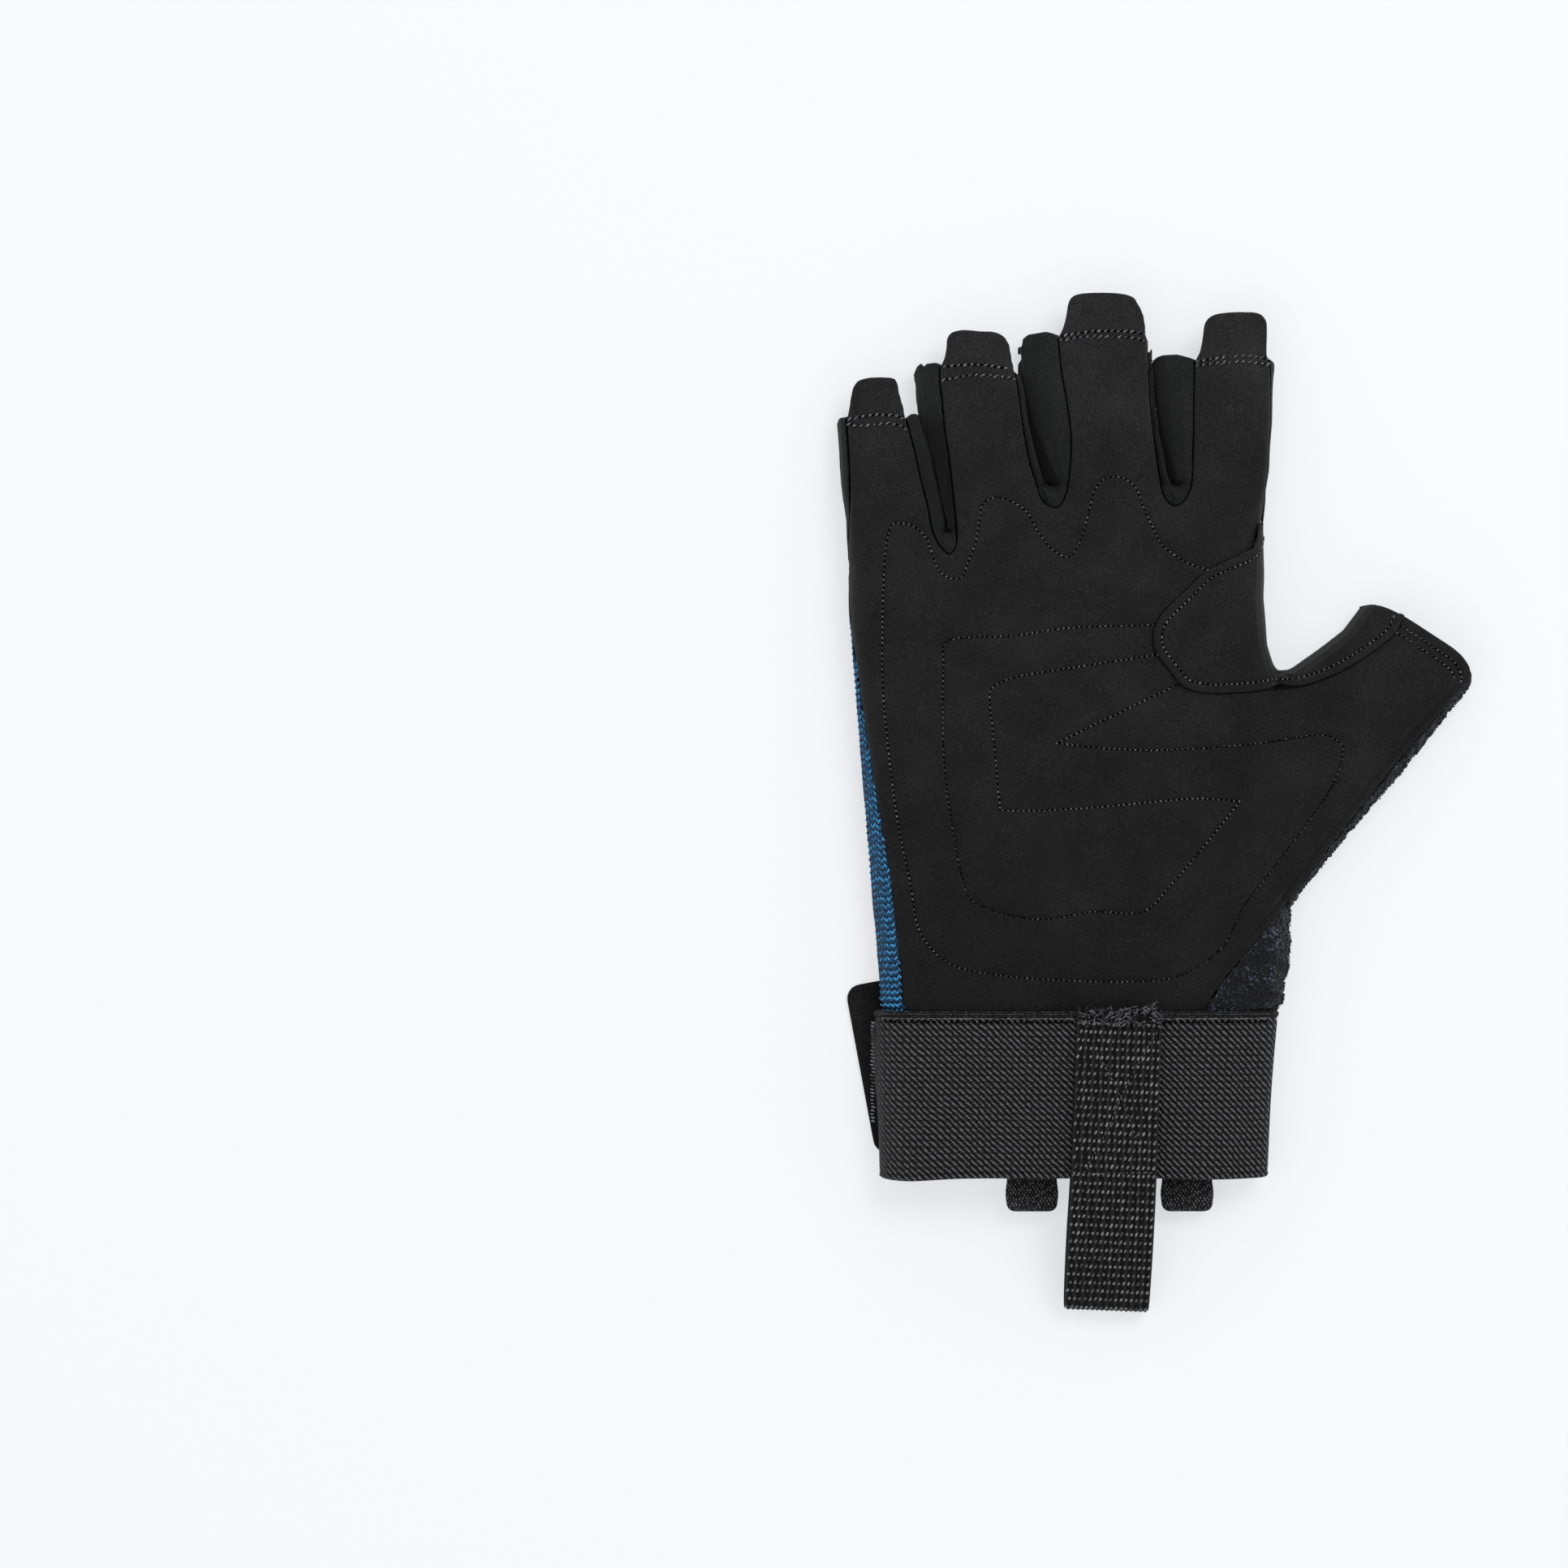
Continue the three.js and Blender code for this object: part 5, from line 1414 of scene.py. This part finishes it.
centre, side, out = upright(cuffPath, 0.6, "xz")
centre[:, 1] = (cuffTop + cuffBottom) / 2
cuffBand = strap("cuff_twill", centre, side, out, cuffTop - cuffBottom, cuff["thickness"], twill, 62,
                 relief=cuffRelief,
                 backRelief=lambda s, w: 0.1 * np.sin(s / 9.0))
verts, normals = vertsOf(cuffBand)
low = (cuffTop - verts[:, 1]) / (cuffTop - cuffBottom)
verts[:, 0] = cuffMiddle + (verts[:, 0] - cuffMiddle) * (1 + (cuffTaper - 1) * low)
verts[:, 0] += (0.3 - 1.1 * low) * eased((verts[:, 0] - 14) / 10)
sag = cuff["sagLeft"] * bell(verts[:, 0] + 57, 9) + cuff["sagRight"] * bell(verts[:, 0] - 14, 8)
verts[:, 1] -= sag * eased(low * 3 - 2)
corner = cuff["corner"]  # how round the fold's lower corner is
under = np.clip(corner - (verts[:, 1] - verts[:, 1].min()), 0, corner)
cut = corner - np.sqrt(np.maximum(corner ** 2 - under ** 2, 0))
leftEnd, rightEnd = (np.clip(1 - away / 8, 0, 1) for away in (verts[:, 0] + 63, 26 - verts[:, 0]))
verts[:, 0] += cut * leftEnd - cut * rightEnd
setVerts(cuffBand, verts)
finish(cuffBand, ["cuff_band"])

# Closure: a suede tab that shows beside the cuff, and the strip that it grips
closure = {"left": -70.7, "right": -35.0, "bottom": -81.6, "top": -42.4, "corner": 3.2, "thickness": 1.1,
           "turn": 10.5}
pileStrip = {"left": -64.9, "right": -52.0, "bottom": -83.4, "top": -50.4, "corner": 1.0, "thickness": 0.9,
             "height": 2.0, "turn": 4.5}


def roundedOutline(left, right, bottom, top, corner):
    out = []
    for cx, cy, start in ((right - corner, bottom + corner, -90), (right - corner, top - corner, 0),
                          (left + corner, top - corner, 90), (left + corner, bottom + corner, 180)):
        out += [(cx + corner * math.cos(math.radians(start + a)),
                 cy + corner * math.sin(math.radians(start + a)))
                for a in range(0, 91, 15)]
    return np.array(out)


# A rounded rectangle turned about its upper left corner
def turnedOutline(look):
    outline = roundedOutline(*(look[k] for k in ("left", "right", "bottom", "top", "corner")))
    c, q = math.cos(math.radians(look["turn"])), math.sin(math.radians(look["turn"]))
    pivot = np.array([look["left"], look["top"]])
    return (outline - pivot) @ np.array([[c, q], [-q, c]]) + pivot


closureTab = plate("closure_suede", turnedOutline(closure), 1.4, lambda p: np.full(len(p), 0.6),
                   closure["thickness"], suede)
finish(closureTab, ["closure_tab"])
closurePile = plate("closure_hook_tape", turnedOutline(pileStrip), 1.2,
                    lambda p: np.full(len(p), pileStrip["height"]), pileStrip["thickness"], hookTape)
finish(closurePile, ["closure_pile"])

# Clip loop: ribbed webbing over the cuff, folded below it and sewn back inside
clip = {"width": 19.4, "thickness": 1.2, "at": (-8.4, cuffTop), "turn": -2.1, "rib": 1.9, "ribHeight": 0.14}
clipPath = [
    (-46.6, 15.9), (-60.0, 16.0), (-75.0, 16.0), (-86.0, 16.2), (-97.0, 14.2), (-106.0, 10.8),
    (-112.6, 7.2), (-115.6, 4.0), (-113.4, 1.1), (-107.0, 1.0), (-98.0, 3.4), (-90.0, 8.2), (-83.0, 11.4),
    (-74.0, 11.9), (-66.0, 11.9)]
centre, side, out = upright([(y, z) for y, z in clipPath], 0.38, "yz")
centre[:, 1] -= clip["at"][1]
c, q = math.cos(math.radians(clip["turn"])), math.sin(math.radians(clip["turn"]))
turn = np.array([[c, q, 0], [-q, c, 0], [0, 0, 1]])
centre, side, out = centre @ turn + np.array([clip["at"][0], clip["at"][1], 0]), side @ turn, out @ turn


def clipRelief(s, w):
    inward = np.clip((clip["width"] / 2 - np.abs(w)) / 1.5, 0, 1)
    return clip["ribHeight"] * np.cos(2 * math.pi * s / clip["rib"]) * inward


clipCentre, clipSide, clipOut = centre, side, out
# its ribs keep their distance as seen from above, so they are measured along the level
stride = np.linalg.norm(np.diff(clipCentre, axis=0), axis=1)
level = np.abs(np.diff(clipCentre[:, 1]))
clipAlong = np.concatenate([[0], np.cumsum(np.where(clipOut[1:, 2] > 0.6, level, stride))])
clipLoop = strap("clip_loop_webbing", centre, side, out, clip["width"], clip["thickness"], webbing, 24,
                 relief=clipRelief, backRelief=clipRelief, along=clipAlong)
finish(clipLoop, ["clip_loop"])

# Hang loops: two folded lengths of knit ribbon inside the back of the cuff
hangLoops = {"width": 11.3, "thickness": 0.8, "corner": 1.7,
             "loops": [("hang_loop_left", -33.6, 4.15), ("hang_loop_right", 1.9, 3.8)]}
hangPath = [(-72, 1.3), (-84, 1.3), (-89, 1.5), (-92, 1.5), (-93.2, 0.6), (-92, -0.4), (-89, -0.3),
            (-84, 0), (-72, 0)]
for node, left, base in hangLoops["loops"]:
    centre, side, out = upright([(y, z + base) for y, z in hangPath], 0.4, "yz")
    centre[:, 0] = left + hangLoops["width"] / 2
    loop = strap(node + "_ribbon", centre, side, out, hangLoops["width"], hangLoops["thickness"], ribbon,
                 16)
    verts, normals = vertsOf(loop)
    foot = np.clip(hangLoops["corner"] - (verts[:, 1] - verts[:, 1].min()), 0, hangLoops["corner"])
    cut = hangLoops["corner"] - np.sqrt(np.maximum(hangLoops["corner"] ** 2 - foot ** 2, 0))
    middle = left + hangLoops["width"] / 2
    off = (verts[:, 0] - middle) / (hangLoops["width"] / 2)
    verts[:, 0] += off * (0.35 * bell(verts[:, 1] + 89.5, 2.2) - cut)
    setVerts(loop, verts)
    finish(loop, [node])

# Webbing floats: rows of short pale yarns that climb over each rib and stop at the loop's sewing
boxLines = [smoothPath(line, 0.5) for line in (
    [(-17.3, -50.5), (-18.4, -83.0)], [(-0.4, -50.0), (-1.6, -82.5)], [(-18.0, -84.4), (-1.4, -84.0)],
    [(-0.2, -52.4), (-5.0, -60.5), (-8.2, -67.0), (-10.7, -73.0),
     (-16.5, -84.0)], [(-13.5, -57.0), (-8.2, -67.0), (-4.0, -78.5)])]
floats = {"pitch": 1.1, "length": 1.1, "thickness": 0.66, "lean": 62, "uneven": 0.25, "clear": 0.3}
lines = []
for k in range(2, int(clipAlong[-1] / clip["rib"])):
    centre, side, out = (np.array([np.interp(k * clip["rib"], clipAlong, part[:, axis])
                                   for axis in range(3)])
                         for part in (clipCentre, clipSide, clipOut))
    # every other row is set half a float over
    start = -clip["width"] / 2 + 0.5 + floats["pitch"] / 2 * (k % 2)
    across = np.arange(start, clip["width"] / 2 - 0.3, floats["pitch"] / 2)
    spots = centre + across[:, None] * side + out * (clip["thickness"] / 2 + 0.05)
    free = distanceTo(spots, boxLines[3:]) > floats["clear"] if out[2] > 0.5 else np.ones(len(spots), bool)
    row = [(Vector(spot) * mm, Vector(out)) for spot, bare in zip(spots, free) if bare]
    lines += runs(row, 0.9)
sew("webbing_floats", lines, floats, webbingYarn, 21)

# Knit loops: the wales that show along the little-finger side, each a column of Vs
knitLoops = {"wale": 1.12, "pitch": 1.5, "length": 1.3, "thickness": 0.52, "lean": 34, "uneven": 0.12}


# Points up the little-finger side, at a plan distance in from its fold, as (point, normal) pairs
def wallLine(inset, low, high):
    rows = tubes[0]
    y = np.arange(low, high, 0.8)
    left, lean, floor, top = (np.interp(y, rows[:, 1], rows[:, k]) for k in (0, 4, 6, 7))
    left = left + wristFlare(y)
    rise = top - crown - floor - foldHeight
    angle = np.arccos(np.clip(1 - inset / lean, 0, 1))
    spots = np.stack([left + inset, y, floor + foldHeight + rise * np.sin(angle)], 1)
    normals = np.stack([-np.cos(angle) / lean, 0 * y, np.sin(angle) / rise], 1)
    normals /= np.linalg.norm(normals, axis=1)[:, None]
    bare = ~insideOutline(spots[:, :2] + (0.35, 0), palmOutline)
    facing = normals + (0, 0, 1.0)  # the loops on the steep part turn a little upwards
    spots = spots - normals * 0.1
    return [(Vector(spot) * mm, Vector(up).normalized()) for spot, up in zip(spots[bare], facing[bare])]


for side, turn in (("left", -1), ("right", 1)):
    lines = []
    for k in range(6):
        lines += runs(wallLine(0.45 + k * knitLoops["wale"] + turn * 0.27, -47.6, 41.0))
    sew("knit_loops_" + side, lines, dict(knitLoops, lean=-turn * knitLoops["lean"]), knitYarn,
        31)

# Sewing. Each look is a pitch, a stitch length and a thread thickness in mm, and a lean in degrees.
quiltThread = {"pitch": 1.2, "length": 0.72, "thickness": 0.42, "lean": 24, "uneven": 0.35}
tabThread = {"pitch": 1.45, "length": 1.15, "thickness": 0.5, "lean": 32, "uneven": 0.4}
edgeThread = {"pitch": 1.2, "length": 0.8, "thickness": 0.42, "lean": 18, "uneven": 0.3}
cuffThread = {"pitch": 1.2, "length": 1.6, "thickness": 0.38, "lean": 3, "uneven": 0.1}
# painted shade in the needle holes: dark beads laid between the stitches
needleHoleShade = {"length": 1.15, "thickness": 0.66, "lean": 0, "uneven": 0.3}
palmSurface = Surface(palmPanel)
cuffSurface = Surface(cuffBand)
clipSurface = Surface(clipLoop)
gussetSurface = Surface(gusset)

# the quilting goes under the gusset patch, so it shows only where the palm lies bare
patchRegion = np.vstack([patchLine, [(62, 60), (40, 60), (33, 52), (33, 63.4)]])


# Stitches along lines, with dark beads between them: painted shade in the needle holes
def sewWithHoles(name, lines, look, material, seed):
    sew(name, lines, look, material, seed)
    skipped = look["pitch"] / 2
    between = []
    for line in lines:
        at = np.concatenate([[0], np.cumsum([(b[0] - a[0]).length / mm for a, b in zip(line, line[1:])])])
        between.append([(point - up * 0.12 * mm, up) for (point, up), s in zip(line, at)
                        if skipped <= s <= at[-1] - skipped])
    sew(name + "_holes", between, dict(needleHoleShade, pitch=look["pitch"]), darkThreadAndShade, seed + 1)


quiltRuns = [part for line in quiltLines
             for part in runs(palmSurface.lay(line[~insideOutline(line, patchRegion)], 0.08))]
sewWithHoles("quilting_thread", quiltRuns, quiltThread, thread, 3)

tabRows = [
    [(-69.6, 87.4), (-66.3, 87.9), (-62.6, 88.3), (-59.4, 88.1), (-57.6, 87.5)],
    [(-70.4, 86.2), (-67.2, 85.8), (-63.5, 86.1), (-60.9, 86.3), (-57.9, 85.7), (-56.9, 84.9)],
    [(-48.0, 99.3), (-44.5, 99.5), (-40.9, 99.7), (-36.2, 99.2), (-34.2, 98.9)],
    [(-48.3, 96.2), (-45.0, 96.8), (-41.8, 97.3), (-37.4, 97.1), (-33.4, 96.8), (-32.2, 96.4)],
    [(-21.8, 106.1), (-17.3, 106.9), (-11.8, 107.3), (-6.2, 107.3), (-2.6, 106.7)],
    [(-21.5, 105.3), (-16.4, 105.9), (-9.8, 106.0), (-5.2, 105.8), (-1.9, 105.0)],
    [(9.6, 100.4), (13.6, 101.1), (18.3, 101.6), (23.0, 101.4), (25.5, 101.1)],
    [(9.6, 99.5), (13.6, 100.0), (19.2, 100.3), (25.6, 99.8)]]
sewWithHoles("tab_thread", [palmSurface.lay(smoothPath(row, 0.5), 0.1) for row in tabRows], tabThread,
             threadPale, 5)

patchSeam = offsetLine(patchLine, patch["seamAt"])
sewWithHoles("patch_thread", runs(gussetSurface.lay(patchSeam, 0.05)), edgeThread, thread, 7)

hemRows = []
for inset in (2.4, 4.2):
    row = offsetLine(hem, -inset)
    onThumb = insideOutline(row, palmOutline) & (distanceTo(row, [hem]) > inset - 0.2)
    hemRows.append(row[onThumb & (distanceTo(row, [outerEdge]) > 1.6)])
sewWithHoles("thumb_hem_thread", [palmSurface.lay(row, 0.08) for row in hemRows], edgeThread, thread,
             8)

cuffRow = evenly(np.array([(-61.8, cuffTop - 1.7), (25.0, cuffTop - 1.7)]), 0.5)
cuffHoleShade = evenly(np.array([(-61.5, cuffTop - 2.5), (25.0, cuffTop - 2.5)]), 0.5)
sew("cuff_thread", [cuffSurface.lay(cuffRow, 0.12)], cuffThread, cuffYarn, 9)
# painted shade in the cuff stitching's needle holes: a row of dark beads below it
sew("cuff_holes", [cuffSurface.lay(cuffHoleShade, 0.0)], dict(needleHoleShade, pitch=1.3, length=0.9), darkThreadAndShade,
    10)

# the sunk seam where each finger's walls meet the palm panel: a dark line in its groove, painted shadow in
# place of the seam's shade
seam = {"out": 0.3, "sink": -0.08, "thickness": 0.46}
wallSurface = Surface(*wallPieces)
sides = [littleSide[littleSide[:, 1] > 60], indexSide[indexSide[:, 1] > 66]]
lines = [part for path in notchPaths + sides
         for part in runs(wallSurface.lay(offsetLine(path, seam["out"]), seam["sink"]))]
# and a painted contact shadow on the palm just outside the gusset patch's edge
lines += runs(palmSurface.lay(offsetLine(patchLine, -0.35), seam["sink"] - 0.1))
seamShadow = useTree(wires("sunk_seam_shadow", lines), threads,
                     {"Thickness": seam["thickness"] * mm, "Thread": darkThreadAndShade})
addLoose(seamShadow)

# the clip loop is sewn down with a box and a cross
boxThread = {"pitch": 1.3, "length": 1.0, "thickness": 0.3, "lean": 15, "uneven": 0.3}
sew("clip_thread", [clipSurface.lay(line, 0.2) for line in boxLines[2:]], boxThread, cuffYarn,
    13)

# its cut upper end is overstitched, and yarns fray out of it
fray = {"count": 190, "thickness": 0.17, "length": (1.2, 4.4), "seed": 17}
random = np.random.default_rng(fray["seed"])
lines = []
for k in range(fray["count"]):
    loose = k % 24 == 0  # a few hang free over the edge, the rest are caught in the overstitching
    if loose:
        x, y = random.uniform(-11, -2), random.uniform(-47.6, -46.8)
    else:
        x, y = random.uniform(-17.6, 0.2), random.uniform(-51.0, -47.1)
    angle = random.normal(0.2, 0.12) if loose else random.normal(1.1 * (k % 2) - 0.3, 0.5)
    length = random.uniform(*fray["length"]) * (1.0 if loose else 0.4)
    bend = random.normal(0, 0.25)
    height = 16.9 + random.uniform(0.0, 0.5)
    points = []
    for t in np.linspace(0, 1, 7):
        course = angle + bend * t
        spot = (x + length * t * math.cos(course), y + length * t * math.sin(course),
                height + 0.3 * math.sin(3.1 * t))
        points.append((Vector(spot) * mm, Vector((0, 0, 1))))
    lines.append(points)
for name, part, yarn in (("clip_frayed_yarns", lines[::4] + lines[1::2], thread),
                         ("clip_frayed_yarns_dark", lines[2::4], darkThreadAndShade)):
    frayed = useTree(wires(name, part), threads, {"Thickness": fray["thickness"] * mm, "Thread": yarn})
    addLoose(frayed)

# the hook tape's edge beside the cuff: a row of pale beads, its light glossy edge with painted highlights
# where it catches the light
edgeGlints = {"pitch": 0.8, "length": 0.75, "thickness": 0.24, "lean": 60, "uneven": 0.5}
tapeEdge = [
    [(Vector((x + 0.15 * math.sin(y * 2.3 + x), y, 3.0)) * mm, Vector((-0.4, 0, 0.9)))
     for y in np.arange(-73.0, -50.0, 0.5)]
    for x in (-64.5, -64.15)]
sew("hook_tape_edge", tapeEdge, edgeGlints, hookEdge, 15)
bpy.context.view_layer.update()

# Floor, light and camera

floorLook = {"colour": "#9d9ea0", "glow": "#f9fafc", "glowStrength": 0.62, "surround": 0.72, "size": 3.0}
# paper lit from behind too, so that shadows on it stay faint
material, tree = newMaterial("paper_sweep_backlit")
shade = addNode(tree, "ShaderNodeRGB")
shade.outputs[0].default_value = hexLinear(floorLook["colour"])
endMaterial(tree, (shade, "Color"), Roughness=0.9, Specular_IOR_Level=0.1,
            Emission_Color=hexLinear(floorLook["glow"]),
            Emission_Strength=floorLook["glowStrength"])
half = floorLook["size"] / 2
floor = meshObject("floor", [(-half, -half, 0), (half, -half, 0), (half, half, 0), (-half, half, 0)],
                   [(0, 1, 2, 3)], material)
floor.location.z = -0.0002

world = bpy.data.worlds.new("studio")
bpy.context.scene.world = world
world.use_nodes = True
world.node_tree.nodes["Background"].inputs["Color"].default_value = (1, 1, 1, 1)
world.node_tree.nodes["Background"].inputs["Strength"].default_value = floorLook["surround"]

# softboxes that look at the middle of the glove; places and sizes in metres, powers in watts
softboxes = {
    "key_softbox": {"place": (0.55, 0.75, 1.3), "size": 0.7, "power": 9},
    "fill_softbox": {"place": (-0.7, -0.5, 1.2), "size": 1.0, "power": 2},
}
for name, look in softboxes.items():
    lamp = bpy.data.lights.new(name, "AREA")
    lamp.shape = "SQUARE"
    lamp.size = look["size"]
    lamp.energy = look["power"]
    thing = addObject(name, lamp)
    thing.location = look["place"]
    thing.rotation_euler = (-Vector(look["place"])).to_track_quat("-Z", "Y").to_euler()

# the photograph is square, and the glove's origin lies at one of its pixels
photo = {"pixels": 1932, "perMm": 5.4, "origin": (1423, 988.5)}
halfway = photo["pixels"] / 2
view = {"widthMm": photo["pixels"] / photo["perMm"], "lens": 150.0, "sensor": 36.0, "height": 8.0,
        "centre": ((halfway - photo["origin"][0]) / photo["perMm"],
                   (photo["origin"][1] - halfway) / photo["perMm"])}
camera = addObject("camera", bpy.data.cameras.new("camera"))
camera.data.lens = view["lens"]
camera.data.sensor_width = view["sensor"]
away = view["widthMm"] * view["lens"] / view["sensor"]
camera.location = (view["centre"][0] * mm, view["centre"][1] * mm, (away + view["height"]) * mm)
camera.data.clip_end = 20
bpy.context.scene.camera = camera
print("stage set")
